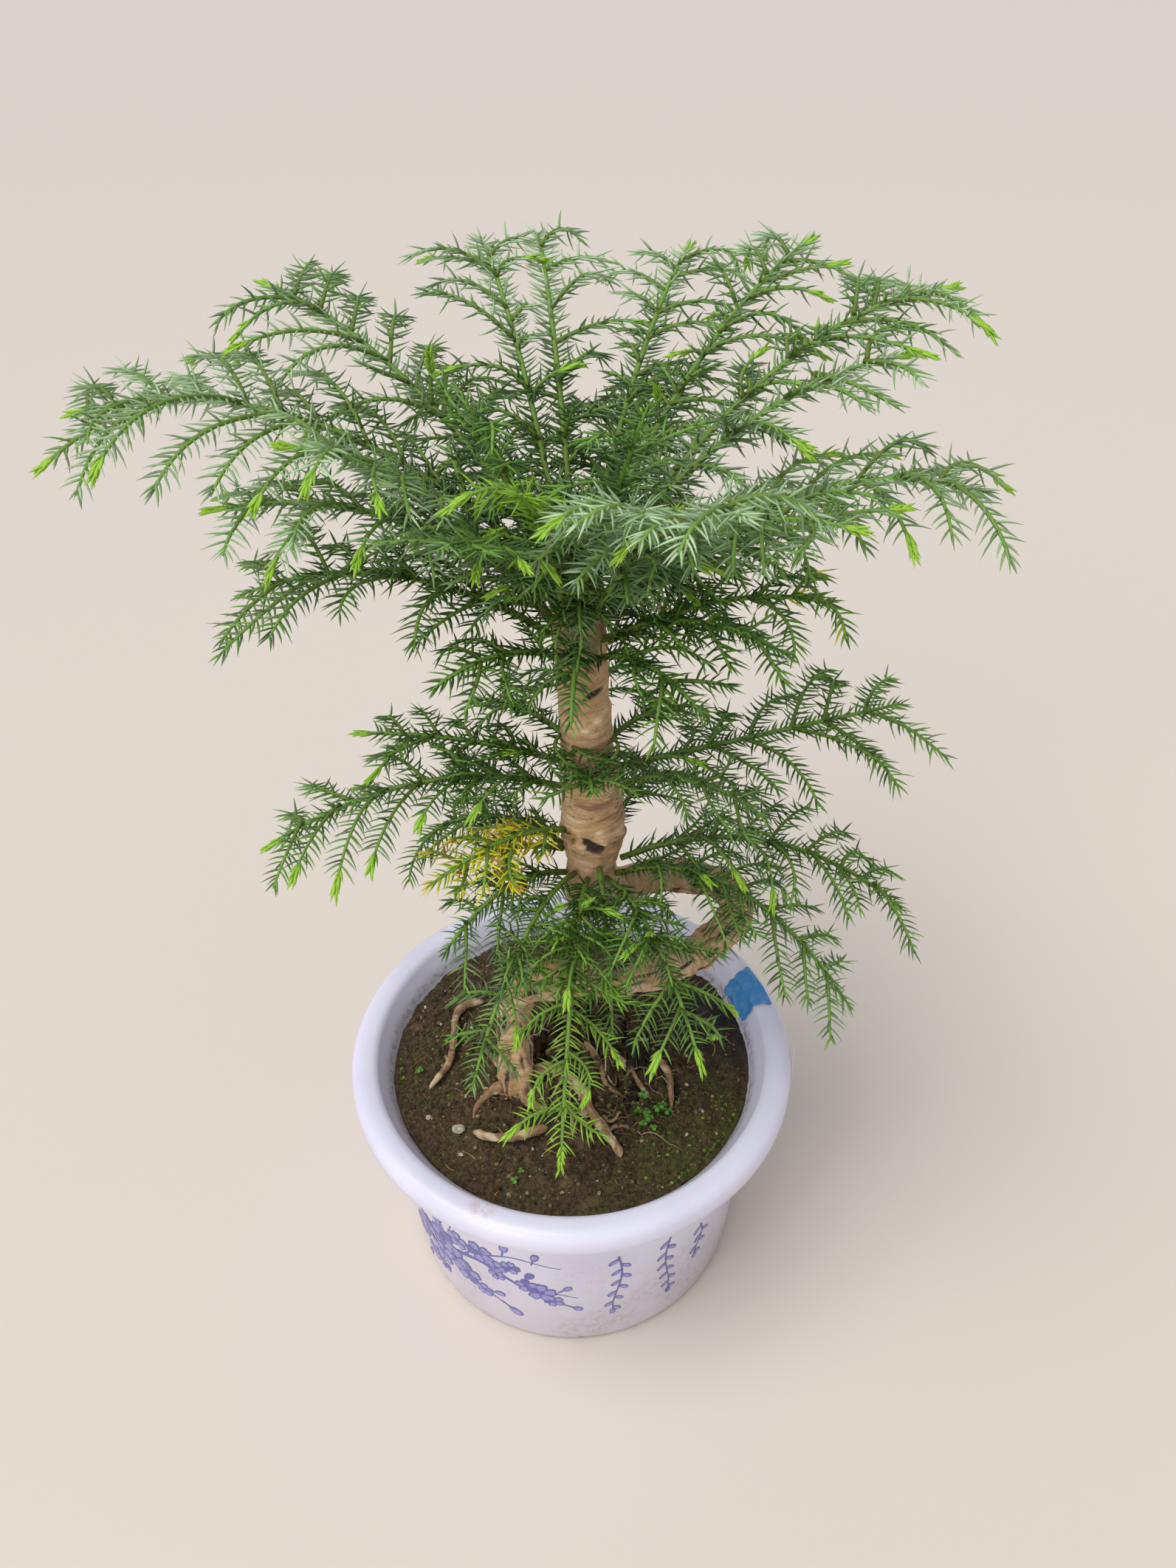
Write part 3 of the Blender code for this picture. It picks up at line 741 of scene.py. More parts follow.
class Shape:
    """A mesh in the making: blocks of points and faces, and the numbers that the points carry."""

    def __init__(self) -> None:
        """Start with nothing."""
        self.points: list[np.ndarray] = []
        self.faces: list[np.ndarray] = []
        self.slots: list[np.ndarray] = []
        self.corners: list[np.ndarray] = []
        self.values: dict[str, list[np.ndarray]] = {}
        self.count = 0

    def add(self, points: np.ndarray, faces: list[np.ndarray], slot: int = 0,
            flat: list[np.ndarray] | None = None, **values: np.ndarray | float) -> None:
        """Add a block.

        Args:
            points: Places, with 3 numbers in the last axis.
            faces: Arrays of faces, one row of point numbers each.
            slot: The faces' material.
            flat: For each array of faces, its corners' places on the bake map.
            values: A number or a vector for each point, or one number for all.
        """
        points = points.reshape(-1, 3)
        for i, block in enumerate(faces):
            self.faces.append(block + self.count)
            self.slots.append(np.full(len(block), slot))
            if flat is not None:
                self.corners.append(flat[i].reshape(-1, 2))
        for name, value in values.items():
            value = np.asarray(value, float)
            value = np.full(len(points), value) if value.ndim == 0 else value
            self.values.setdefault(name, []).append(value)
        self.points.append(points)
        self.count += len(points)

    def build(self, name: str, materials: list[bpy.types.Material], smooth: bool = True) -> bpy.types.Object:
        """Write the mesh and its object.

        Args:
            name: The piece's name.
            materials: One for each slot.
            smooth: Whether its faces are shaded smooth.

        Returns:
            The new object, at the origin.
        """
        mesh = bpy.data.meshes.new(name)
        totals = np.concatenate([np.full(len(block), block.shape[1]) for block in self.faces])
        corners = np.concatenate([block.ravel() for block in self.faces])
        mesh.vertices.add(self.count)
        mesh.loops.add(len(corners))
        mesh.polygons.add(len(totals))
        mesh.vertices.foreach_set("co", np.concatenate(self.points).astype(np.float32).ravel())
        mesh.loops.foreach_set("vertex_index", corners.astype(np.int32))
        mesh.polygons.foreach_set("loop_start", (np.cumsum(totals) - totals).astype(np.int32))
        mesh.polygons.foreach_set("material_index", np.concatenate(self.slots).astype(np.int32))
        mesh.update(calc_edges=True)
        mesh.polygons.foreach_set("use_smooth", np.full(len(totals), smooth))
        for key, blocks in self.values.items():
            value = np.concatenate(blocks).astype(np.float32)
            kind, slot = ("FLOAT", "value") if value.ndim == 1 else ("FLOAT_VECTOR", "vector")
            mesh.attributes.new(key, kind, "POINT").data.foreach_set(slot, value.ravel())
        if self.corners:
            layer = mesh.uv_layers.new(name=BAKE_MAP, do_init=False)
            layer.uv.foreach_set("vector", np.concatenate(self.corners).astype(np.float32).ravel())
        for material in materials:
            mesh.materials.append(material)
        item = bpy.data.objects.new(name, mesh)
        bpy.context.scene.collection.objects.link(item)
        return item


def settle(item: bpy.types.Object, slot: str, *nodes: str) -> bpy.types.Object:
    """Let a piece ride on the plant and hide the nodes that it stands for.

    Args:
        item: the piece.
        slot: its finish; not used.
        *nodes: the nodes it stands for.

    Returns:
        The piece.
    """
    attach(item, BODY)
    if nodes:
        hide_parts(*nodes)
    LOG.info("%s: %d faces", item.name, len(item.data.polygons))
    return item


# ---------------------------------------------------------------- the pot


@dataclass
class Pot:
    """The moulded pot: a swelling bowl with a wide down-turned lip and drain holes."""

    height: float = 0.1687
    lip_radius: float = 0.140
    mouth_radius: float = 0.1225
    body_top_radius: float = 0.1162
    body_base_radius: float = 0.1081
    body_top: float = 0.152
    body_curve: float = 0.38
    wall: float = 0.0030
    floor: float = 0.0040
    foot_round: float = 0.006
    lip_drop: float = 0.0152
    soil_edge: float = 0.1505
    drain_holes: int = 6
    drain_radius: float = 0.005
    drain_circle: float = 0.070
    sides: int = 240

    def wall_radius(self, height: np.ndarray | float) -> np.ndarray | float:
        """Outside radius: base + (top - base) (height / body top) ^ curve."""
        swell = (np.maximum(height, 0.0) / self.body_top) ** self.body_curve
        return self.body_base_radius + (self.body_top_radius - self.body_base_radius) * swell

    def inner_radius(self, height: float) -> float:
        """Inside radius: the wall's, opening out into the lip above the soil.

        Args:
            height: height over the floor, in metres.

        Returns:
            The radius, in metres.
        """
        opening = max(0.0, (height - self.soil_edge + 0.004) / (self.height - self.soil_edge))
        flare = self.mouth_radius - (self.body_top_radius - self.wall)
        return self.wall_radius(min(height, self.body_top)) - self.wall + flare * min(1.0, opening) ** 1.3

    def lip_top(self) -> np.ndarray:
        """The (radius, height) points of the lip's face, from its lower edge to the mouth.

        Returns:
            The rows of the face.
        """
        lip, top, mouth = self.lip_radius, self.height, self.mouth_radius
        return np.array([
            (lip - 0.0022, top - self.lip_drop), (lip - 0.0008, top - self.lip_drop + 0.0002),
            (lip, top - self.lip_drop + 0.0016), (lip, top - 0.0090), (lip - 0.0004, top - 0.0052),
            (lip - 0.0020, top - 0.0022), (lip - 0.0050, top - 0.0004), (lip - 0.0088, top),
            (mouth + 0.0046, top - 0.0002), (mouth + 0.0016, top - 0.0012), (mouth + 0.0002, top - 0.0036)])

    def profile(self) -> np.ndarray:
        """The closed section, from the axis under the floor round to the axis above it.

        Returns:
            The rows of the section.
        """
        foot = self.wall_radius(self.foot_round)
        bend = np.linspace(0.0, np.pi / 2, 6)[:-1]
        under = np.stack([foot - self.foot_round * (1 - np.sin(bend)) * 0.8,
                          self.foot_round * (1 - np.cos(bend))], -1)
        rise = self.foot_round + (self.body_top - self.foot_round) * (np.arange(1, 25) / 24) ** 1.3
        outside = np.stack([self.wall_radius(rise), rise], -1)
        gutter = np.array([(self.body_top_radius + 0.0012, self.body_top + 0.0036),
                           (self.body_top_radius + 0.0040, self.body_top + 0.0082),
                           (self.lip_radius - 0.0110, self.height - 0.0040),
                           (self.lip_radius - 0.0058, self.height - 0.0052),
                           (self.lip_radius - 0.0036, self.height - 0.0085),
                           (self.lip_radius - 0.0033, self.height - self.lip_drop + 0.0005)])
        heights = (0.161, 0.157, 0.153, 0.149, 0.140, 0.120, 0.090, 0.060, 0.030, 0.012)
        inside = np.array([(self.inner_radius(h), h) for h in heights])
        inner_foot = self.inner_radius(self.floor)
        bottom = np.array([(inner_foot - 0.0006, self.floor + 0.002), (inner_foot - 0.004, self.floor),
                           (self.drain_circle - 0.02, self.floor), (0.0, self.floor)])
        start = np.array([(0.0, 0.0), (self.drain_circle - 0.02, 0.0), (foot - self.foot_round * 1.6, 0.0)])
        return np.concatenate([start, under, outside, gutter, self.lip_top(), inside, bottom])

    def drill(self, item: bpy.types.Object) -> None:
        """Cut the drain holes with one exact Boolean, and keep the result as plain mesh.

        Args:
            item: the pot.
        """
        cutter = Shape()
        centres = circle(self.drain_holes)[1] * self.drain_circle
        ring = circle(24)[1] * self.drain_radius
        flat = centres[:, None, None] + np.stack([ring, ring])[None]
        level = np.broadcast_to(np.array([-1.0, 2.0])[None, :, None, None] * self.floor,
                                (*flat.shape[:3], 1))
        cutter.add(np.concatenate([flat, level], -1), list(tube_faces(self.drain_holes, 2, 24)))
        tool = cutter.build("drain_cutter", [])
        modifier = item.modifiers.new("drain", "BOOLEAN")
        modifier.operation, modifier.solver, modifier.object = "DIFFERENCE", "EXACT", tool
        graph = bpy.context.evaluated_depsgraph_get()
        drilled = bpy.data.meshes.new_from_object(item.evaluated_get(graph))
        item.modifiers.clear()
        item.data = drilled
        bpy.data.objects.remove(tool)

    def build(self) -> None:
        """Turn the section round Z: (r cos, r sin, height) for every bearing."""
        section = self.profile()
        _, ring = circle(self.sides)
        flat = section[1:-1, None, :1] * ring[None]
        height = np.broadcast_to(section[1:-1, None, 1:], (*flat.shape[:2], 1))
        shape = Shape()
        shape.add(*closed_rings(np.concatenate([flat, height], -1), section[0, 1], section[-1, 1]))
        pot = shape.build("pot_shell", [GlossPlastic().make()])
        self.drill(pot)
        pot.data.set_sharp_from_angle(angle=math.radians(50))
        settle(pot, "pot_plastic", "pot")
        self.peeling(pot.data.materials[0])

    def peeling(self, plastic: bpy.types.Material) -> None:
        """The sliver that lifts from the lip's edge: a flattened tube, tapered to both ends.

        Args:
            plastic: the pot's material.
        """
        share = np.linspace(0.0, 1.0, 24)
        bearing = np.radians(350.0 + 10.5 * share)
        out = self.lip_radius + 0.0004 + 0.0032 * share ** 2
        height = self.height - 0.0090 + 0.004 * share
        path = np.stack([out * np.cos(bearing), out * np.sin(bearing), height], -1)
        radii = 0.0009 * np.sin(np.pi * (0.05 + 0.9 * share)) ** 0.5
        points = thin_tubes(path[None], radii[None], 8)
        points = path[None, :, None] + (points - path[None, :, None]) * np.array([0.55, 0.55, 1.7])
        shape = Shape()
        shape.add(points, list(tube_faces(1, 24, 8)))
        settle(shape.build("rim_sliver", [plastic]), "pot_plastic")


@dataclass
class BlossomPrint:
    """The blue print on the pot: a blossoming branch, and three hanging vines."""

    pot: Pot
    lift: float = 0.00016
    layer: float = 0.00003
    shape: Shape = field(default_factory=Shape)
    depth: int = 0

    def lay(self, flat: np.ndarray, faces: list[np.ndarray], ink: np.ndarray | float) -> None:
        """Wrap flat (bearing, height) points on the wall, each call a little prouder than the last.

        The radius is the wall's at that height plus the lift, and the bearing turns it about Z.

        Args:
            flat: the points.
            faces: their faces.
            ink: 0 for wash, 1 for line.
        """
        self.depth += 1
        bearing, height = np.radians(flat[..., 0]), flat[..., 1]
        radius = self.pot.wall_radius(height) + self.lift + self.layer * (self.depth % 6)
        points = np.stack([radius * np.cos(bearing), radius * np.sin(bearing), height], -1)
        self.shape.add(points, faces, ink=ink)

    def to_wall(self, centre: tuple[float, float], flat: np.ndarray) -> np.ndarray:
        """Metres across and up from a centre, as bearing and height."""
        across = np.degrees(flat[..., 0] / self.pot.wall_radius(centre[1]))
        return np.stack([centre[0] + across, centre[1] + flat[..., 1]], -1)

    def blot(self, centre: tuple[float, float], outline: np.ndarray, edge: float = 0.72) -> None:
        """A closed form with a line round it: the outline, and the same drawn in by `edge`.

        Args:
            centre: its middle.
            outline: points round it.
            edge: width of its line.
        """
        middle = outline.mean(0)
        count = len(outline)
        for share, ink in ((1.0, 1.0), (edge, 0.0)):
            ring = middle + (outline - middle) * share
            fan = np.stack([np.arange(count), (np.arange(count) + 1) % count, np.full(count, count)], -1)
            self.lay(self.to_wall(centre, np.concatenate([ring, [middle]])), [fan], ink)

    def petal(self, centre: tuple[float, float], length: float, width: float, turn: float,
              start: float = 0.0, notch: float = 0.0) -> None:
        """An oval petal that leaves its centre at a turn in degrees.

        The outline is (start + length (1 - cos a) / 2, width sin a / 2), notched at its far end.

        Args:
            centre: the blossom's middle.
            length: the petal's length.
            width: its width.
            turn: its direction, in degrees.
            start: gap from the middle.
            notch: depth of the notch at its end.
        """
        a = np.linspace(0.0, 2.0 * np.pi, 19)[:-1]
        out = start + length * (1 - np.cos(a)) / 2 * (1 - notch * np.exp(-((a - np.pi) / 0.35) ** 2))
        flat = np.stack([out, width * np.sin(a) / 2 * (0.75 + 0.25 * (1 - np.cos(a)) / 2)], -1)
        c, s = math.cos(math.radians(turn)), math.sin(math.radians(turn))
        self.blot(centre, flat @ np.array([[c, s], [-s, c]]))

    def flower(self, centre: tuple[float, float], size: float, turn: float, petals: int = 5) -> None:
        """An open blossom: notched petals round a dark eye with its stamens.

        Args:
            centre: its middle.
            size: its radius.
            turn: the first petal's direction, in degrees.
            petals: number of petals.
        """
        for i in range(petals):
            self.petal(centre, size * 0.5, size * 0.46, turn + i * 360.0 / petals, size * 0.05, 0.14)
        for i in range(petals):
            tip = turn + (i + 0.5) * 360.0 / petals
            self.stroke([centre, self.offset(centre, size * 0.24, tip)], size * 0.035, size * 0.02)
        a = np.linspace(0.0, 2.0 * np.pi, 11)[:-1]
        self.blot(centre, np.stack([np.cos(a), np.sin(a)], -1) * size * 0.08, 0.3)

    def offset(self, centre: tuple[float, float], reach: float, turn: float) -> tuple[float, float]:
        """The wall point `reach` metres from a centre at a turn in degrees."""
        flat = np.array([math.cos(math.radians(turn)), math.sin(math.radians(turn))]) * reach
        return tuple(self.to_wall(centre, flat))

    def stroke(self, route: list[tuple[float, float]], first: float, last: float, ink: float = 1.0) -> None:
        """A brush line through wall points: a ribbon whose half width tapers from first to last.

        Args:
            route: the wall points.
            first: half width at the start.
            last: half width at the end.
            ink: 0 for wash, 1 for line.
        """
        path = catmull(np.array(route, float), 8) if len(route) > 2 else np.array(route, float)
        degree = np.array([math.radians(1.0) * self.pot.body_top_radius, 1.0])
        metres = path * degree
        along = unit(np.gradient(metres, axis=0))
        side = np.stack([-along[:, 1], along[:, 0]], -1)
        width = np.linspace(first, last, len(path))[:, None]
        edges = np.stack([metres + side * width, metres - side * width], 1)
        edges = edges / degree
        self.lay(edges, [grid_faces(len(path), 2)[:, ::-1]], ink)

    def bud(self, centre: tuple[float, float], size: float, turn: float) -> None:
        """A closed bud on a short stalk, with two sepals.

        Args:
            centre: its middle.
            size: its length.
            turn: its direction, in degrees.
        """
        self.stroke([centre, self.offset(centre, -size * 0.7, turn)], size * 0.09, size * 0.05)
        self.petal(centre, size, size * 0.78, turn)
        for side in (-38.0, 38.0):
            self.petal(centre, size * 0.45, size * 0.22, turn + side)

    def vine(self, bearing: float, low: float, high: float, sway: float, leaves: int) -> None:
        """A hanging vine: a swaying stem with a leaf to each side in turn, and a bud at its end.

        Args:
            bearing: where it hangs, in degrees.
            low: height of its end.
            high: height of its start.
            sway: how far it swings, in degrees.
            leaves: number of leaves.
        """
        share = np.linspace(0.0, 1.0, 9)
        heights = high + (low - high) * share
        bearings = bearing + sway * np.sin(share * 5.0)
        self.stroke(list(zip(bearings, heights)), 0.0007, 0.0004)
        for i in range(leaves):
            place = (i + 0.5) / leaves
            foot = (bearing + sway * math.sin(place * 5.0), high + (low - high) * place)
            turn = 270.0 + (50.0 if i % 2 else -50.0)
            self.petal(foot, 0.0088 - 0.0020 * place, 0.0040, turn)
        self.bud((bearings[-1], low), 0.0060, 270.0)

    def build(self) -> None:
        """The branch comes from the left and hangs to the right; the vines hang beside it."""
        for route, first, last in (
                (((206.0, 0.050), (214.0, 0.066), (223.0, 0.072), (233.0, 0.062)), 0.0030, 0.0024),
                (((219.0, 0.070), (227.0, 0.060), (234.0, 0.050), (240.0, 0.043)), 0.0034, 0.0008),
                (((231.0, 0.072), (240.0, 0.078), (247.0, 0.074), (256.0, 0.064)), 0.0018, 0.0009),
                (((226.0, 0.072), (222.0, 0.084), (217.0, 0.097)), 0.0012, 0.0004),
                (((233.0, 0.072), (238.0, 0.086), (243.0, 0.093)), 0.0009, 0.0003),
                (((243.0, 0.090), (253.0, 0.099), (267.0, 0.095)), 0.0007, 0.0002),
                (((259.0, 0.066), (266.0, 0.064), (272.0, 0.060)), 0.0005, 0.0002),
                (((238.0, 0.045), (244.0, 0.041), (249.0, 0.035)), 0.0008, 0.0003),
                (((260.0, 0.061), (266.0, 0.053), (270.0, 0.049)), 0.0008, 0.0003)):
            self.stroke(list(route), first, last, 0.8)
        for bearing, height, size, turn in (
                (209.0, 0.048, 0.0200, 48.0), (214.0, 0.062, 0.0220, 5.0), (216.0, 0.034, 0.0170, 60.0),
                (221.0, 0.090, 0.0150, 20.0), (222.0, 0.050, 0.0220, 30.0), (224.0, 0.074, 0.0230, 35.0),
                (229.0, 0.060, 0.0250, 0.0), (234.0, 0.052, 0.0220, 20.0), (231.5, 0.086, 0.0170, 20.0),
                (240.5, 0.088, 0.0210, 50.0), (246.0, 0.080, 0.0150, 0.0), (251.0, 0.086, 0.0135, 10.0),
                (246.0, 0.071, 0.0120, 40.0), (256.0, 0.069, 0.0150, 28.0), (260.5, 0.064, 0.0200, 15.0),
                (264.5, 0.055, 0.0130, 42.0), (240.5, 0.043, 0.0135, 20.0), (222.0, 0.032, 0.0120, 25.0)):
            self.flower((bearing, height), size, turn)
        for bearing, height, size, turn in (
                (221.5, 0.100, 0.0080, 100.0), (229.5, 0.098, 0.0080, 70.0), (215.0, 0.096, 0.0070, 130.0),
                (249.0, 0.102, 0.0090, 80.0), (258.6, 0.101, 0.0080, 75.0), (244.5, 0.046, 0.0080, 20.0),
                (256.0, 0.078, 0.0085, 60.0), (267.5, 0.069, 0.0070, 40.0), (249.5, 0.034, 0.0105, 320.0),
                (270.5, 0.048, 0.0070, 330.0), (212.0, 0.024, 0.0080, 250.0)):
            self.bud((bearing, height), size, turn)
        self.vine(284.5, 0.040, 0.104, 1.3, 10)
        self.vine(302.0, 0.038, 0.102, -1.2, 10)
        self.vine(315.0, 0.058, 0.090, 1.2, 6)
        settle(self.shape.build("blossom_print", [PrintInk().make()]), "pot_plastic")


# ---------------------------------------------------------------- the soil and what lies on it


@dataclass
class Soil:
    """The soil: level near the wall and heaped round the roots."""

    pot: Pot
    level: float = 0.1545
    mound: tuple[float, float, float, float] = (0.010, 0.004, 0.018, 0.036)
    rings: int = 110
    sides: int = 300

    def height(self, x: np.ndarray, y: np.ndarray) -> np.ndarray:
        """A level with a Gaussian mound, gentle lumps, and a fall to the wall.

        Args:
            x: across.
            y: depth.

        Returns:
            The heights, in metres.
        """
        mound_x, mound_y, rise, spread = self.mound
        away = ((x - mound_x) ** 2 + (y - mound_y) ** 2) / (2.0 * spread ** 2)
        lumps = 0.0012 * np.sin(61.0 * x + 1.3) * np.cos(53.0 * y - 0.4)
        edge = np.clip((np.hypot(x, y) - 0.095) / 0.018, 0.0, None)
        level = self.level + (self.pot.soil_edge - self.level) * np.minimum(1.0, edge)
        return level + (rise * np.exp(-away) + lumps) * np.maximum(0.0, 1.0 - edge)

    def crumbled(self, x: np.ndarray, y: np.ndarray) -> np.ndarray:
        """The height with crumbs: soft bumps of three sizes, coarser on the mound.

        Args:
            x: across.
            y: depth.

        Returns:
            The heights, in metres.
        """
        flat = np.stack([x, y, np.zeros_like(x)], -1)
        mound_x, mound_y, _, spread = self.mound
        rough = 0.75 + 1.9 * np.exp(-((x - mound_x) ** 2 + (y - mound_y) ** 2) / (2.0 * spread ** 2))
        crumbs = (0.0012 * waves(flat, 0.013, 3) + 0.0010 * waves(flat, 0.0055, 4, 24)
                  + 0.0006 * waves(flat, 0.0028, 5, 32))
        return self.height(x, y) + crumbs * rough

    def build(self) -> None:
        """Rings of points on the top, down the wall and across the bottom, closed at both poles."""
        top_radius = self.pot.inner_radius(self.pot.soil_edge) - 0.0003
        turn, _ = circle(self.sides)
        reach = top_radius * (np.arange(self.rings, 0, -1) / self.rings)
        x, y = reach[:, None] * np.cos(turn), reach[:, None] * np.sin(turn)
        top = np.stack([x, y, self.crumbled(x.ravel(), y.ravel()).reshape(x.shape)], -1)
        heights = np.array([self.pot.floor + 0.0004, 0.0060, 0.015, 0.040, 0.080, 0.120, 0.145])
        radii = np.array([self.pot.inner_radius(h) - 0.0004 for h in heights])
        radii[0] -= 0.005
        side = np.stack([radii[:, None] * np.cos(turn), radii[:, None] * np.sin(turn),
                         np.broadcast_to(heights[:, None], (len(heights), self.sides))], -1)
        middle = self.crumbled(np.zeros(1), np.zeros(1))[0]
        shape = Shape()
        shape.add(*closed_rings(np.concatenate([side, top]), heights[0], middle))
        settle(shape.build("soil_top", [Earth().make()]), "soil", "soil")


ICO_POINTS = unit(np.array([(-1, 1.618, 0), (1, 1.618, 0), (-1, -1.618, 0), (1, -1.618, 0), (0, -1, 1.618),
                            (0, 1, 1.618), (0, -1, -1.618), (0, 1, -1.618), (1.618, 0, -1), (1.618, 0, 1),
                            (-1.618, 0, -1), (-1.618, 0, 1)], float))
ICO_FACES = np.array([(0, 11, 5), (0, 5, 1), (0, 1, 7), (0, 7, 10), (0, 10, 11), (1, 5, 9), (5, 11, 4),
                      (11, 10, 2), (10, 7, 6), (7, 1, 8), (3, 9, 4), (3, 4, 2), (3, 2, 6), (3, 6, 8),
                      (3, 8, 9), (4, 9, 5), (2, 4, 11), (6, 2, 10), (8, 6, 7), (9, 8, 1)])


@dataclass
class Litter:
    """Crumbs, grit, moss, dead needles and rootlets on the soil."""

    soil: Soil
    crumbs: int = 3400
    moss: int = 900
    dead_needles: int = 70
    rootlets: int = 120
    chips: int = 190
    reach: float = 0.110

    def spots(self, chance: np.random.Generator, count: int, centre: tuple[float, float] = (0.0, 0.0),
              reach: float | None = None) -> tuple[np.ndarray, np.ndarray]:
        """Random places on the soil: an even draw over a disc, kept inside the pot.

        Args:
            chance: the random source.
            count: number of draws.
            centre: middle of the disc.
            reach: its radius.

        Returns:
            The x and the y of each place.
        """
        angle = chance.uniform(0.0, 2.0 * np.pi, count)
        out = (reach or self.reach) * np.sqrt(chance.uniform(0.0, 1.0, count))
        return self.keep_in(centre[0] + out * np.cos(angle), centre[1] + out * np.sin(angle))

    def keep_in(self, x: np.ndarray, y: np.ndarray) -> tuple[np.ndarray, np.ndarray]:
        """Places that pass the reach, drawn straight back to it."""
        pull = np.minimum(1.0, self.reach / np.maximum(np.hypot(x, y), 1e-9))
        return x * pull, y * pull

    def grains(self, name: str, finish: Scatter, slot: str, chance: np.random.Generator,
               x: np.ndarray, y: np.ndarray, size: np.ndarray, lot: np.ndarray, squash: float) -> None:
        """Small rough lumps: stretched and turned icosahedra that lie on the soil.

        Args:
            name: The piece's name.
            finish: Its finish.
            slot: The record's finish that it belongs to.
            chance: Where its random numbers come from.
            x: Places across.
            y: Places in depth.
            size: Half widths.
            lot: Where each grain is on the finish's ramp.
            squash: Height over width.
        """
        count = len(x)
        knobbly = ICO_POINTS[None] * chance.uniform(0.7, 1.25, (count, 12, 1))
        knobbly *= chance.uniform(0.6, 1.3, (count, 1, 3)) * np.array([1.0, 1.0, squash])
        turn = chance.uniform(0.0, 2.0 * np.pi, count)[:, None]
        c, s = np.cos(turn), np.sin(turn)
        px, py = knobbly[..., 0] * c - knobbly[..., 1] * s, knobbly[..., 0] * s + knobbly[..., 1] * c
        points = np.stack([px, py, knobbly[..., 2]], -1) * size[:, None, None]
        points += np.stack([x, y, self.soil.crumbled(x, y) + size * squash * 0.35], -1)[:, None]
        faces = (np.arange(count)[:, None, None] * 12 + ICO_FACES).reshape(-1, 3)
        shape = Shape()
        shape.add(points, [faces], lot=np.repeat(lot, 12))
        settle(shape.build(name, [finish.make()], smooth=False), slot)

    def threads(self, name: str, finish: Scatter, slot: str, x: np.ndarray, y: np.ndarray,
                lift: np.ndarray, radius: np.ndarray, lot: np.ndarray, sides: int = 5) -> None:
        """Thin tubes that lie on the soil.

        Args:
            name: The piece's name.
            finish: Its finish.
            slot: The record's finish that it belongs to.
            x: Places across of each tube's rings, (tubes, rings).
            y: Places in depth.
            lift: How far they are above the soil.
            radius: Their radii.
            lot: Where each tube is on the finish's ramp.
            sides: Points in each ring.
        """
        x, y = self.keep_in(x, y)
        z = self.soil.crumbled(x.ravel(), y.ravel()).reshape(x.shape) + lift
        points = thin_tubes(np.stack([x, y, z], -1), radius, sides)
        shape = Shape()
        shape.add(points, list(tube_faces(*x.shape, sides)), lot=np.repeat(lot, x.shape[1] * sides))
        settle(shape.build(name, [finish.make()]), slot)

    def tangle(self, chance: np.random.Generator) -> None:
        """Fine roots: thin tubes that wander over the mound, sagging onto the soil.

        Args:
            chance: the random source.
        """
        count, rings = self.rootlets, 12
        x, y = self.spots(chance, count, (self.soil.mound[0] + 0.004, self.soil.mound[1] - 0.020), 0.052)
        turn = chance.uniform(0.0, 2.0 * np.pi, count)
        length = chance.uniform(0.010, 0.034, count)
        t = np.linspace(0.0, 1.0, rings)
        bend = (chance.uniform(-1.6, 1.6, (count, 1)) * t
                + chance.uniform(-0.8, 0.8, (count, 1)) * np.sin(6 * t))
        steps = length[:, None] / rings
        x = x[:, None] + np.cumsum(np.cos(turn[:, None] + bend) * steps, 1)
        y = y[:, None] + np.cumsum(np.sin(turn[:, None] + bend) * steps, 1)
        hump = chance.uniform(-0.0004, 0.0034, (count, 1)) * np.sin(np.pi * t)
        radius = (0.0002 + 0.0016 * chance.uniform(0.0, 1.0, (count, 1)) ** 4) * (1.0 - 0.6 * t)
        lot = chance.uniform(0.0, 1.0, count)
        finish = Scatter("rootlet_skin", ((0.0, (70, 50, 36)), (0.5, (128, 98, 70)),
                                          (0.85, (170, 142, 108)), (1.0, (205, 196, 180))))
        self.threads("rootlets", finish, "root_bark", x, y, hump + 0.0002, radius, lot)

    def fallen(self, chance: np.random.Generator) -> None:
        """Dead needles lying flat: short tapered tubes, straw to rust.

        Args:
            chance: the random source.
        """
        count, rings = self.dead_needles, 4
        x, y = self.spots(chance, count)
        turn = chance.uniform(0.0, 2.0 * np.pi, (count, 1))
        t = np.linspace(0.0, 1.0, rings)
        out = t * chance.uniform(0.006, 0.012, (count, 1))
        x = x[:, None] + np.cos(turn + 0.5 * t) * out
        y = y[:, None] + np.sin(turn + 0.5 * t) * out
        radius = 0.00045 * np.sqrt(1.02 - t) * np.ones((count, 1))
        lot = chance.uniform(0.0, 1.0, count)
        finish = Scatter("fallen_needle", ((0.0, (84, 56, 34)), (0.6, (132, 92, 54)),
                                           (1.0, (180, 148, 100))), 0.7)
        self.threads("fallen_needles", finish, "foliage", x, y, 0.0006 + t * 0.0006, radius, lot, 4)

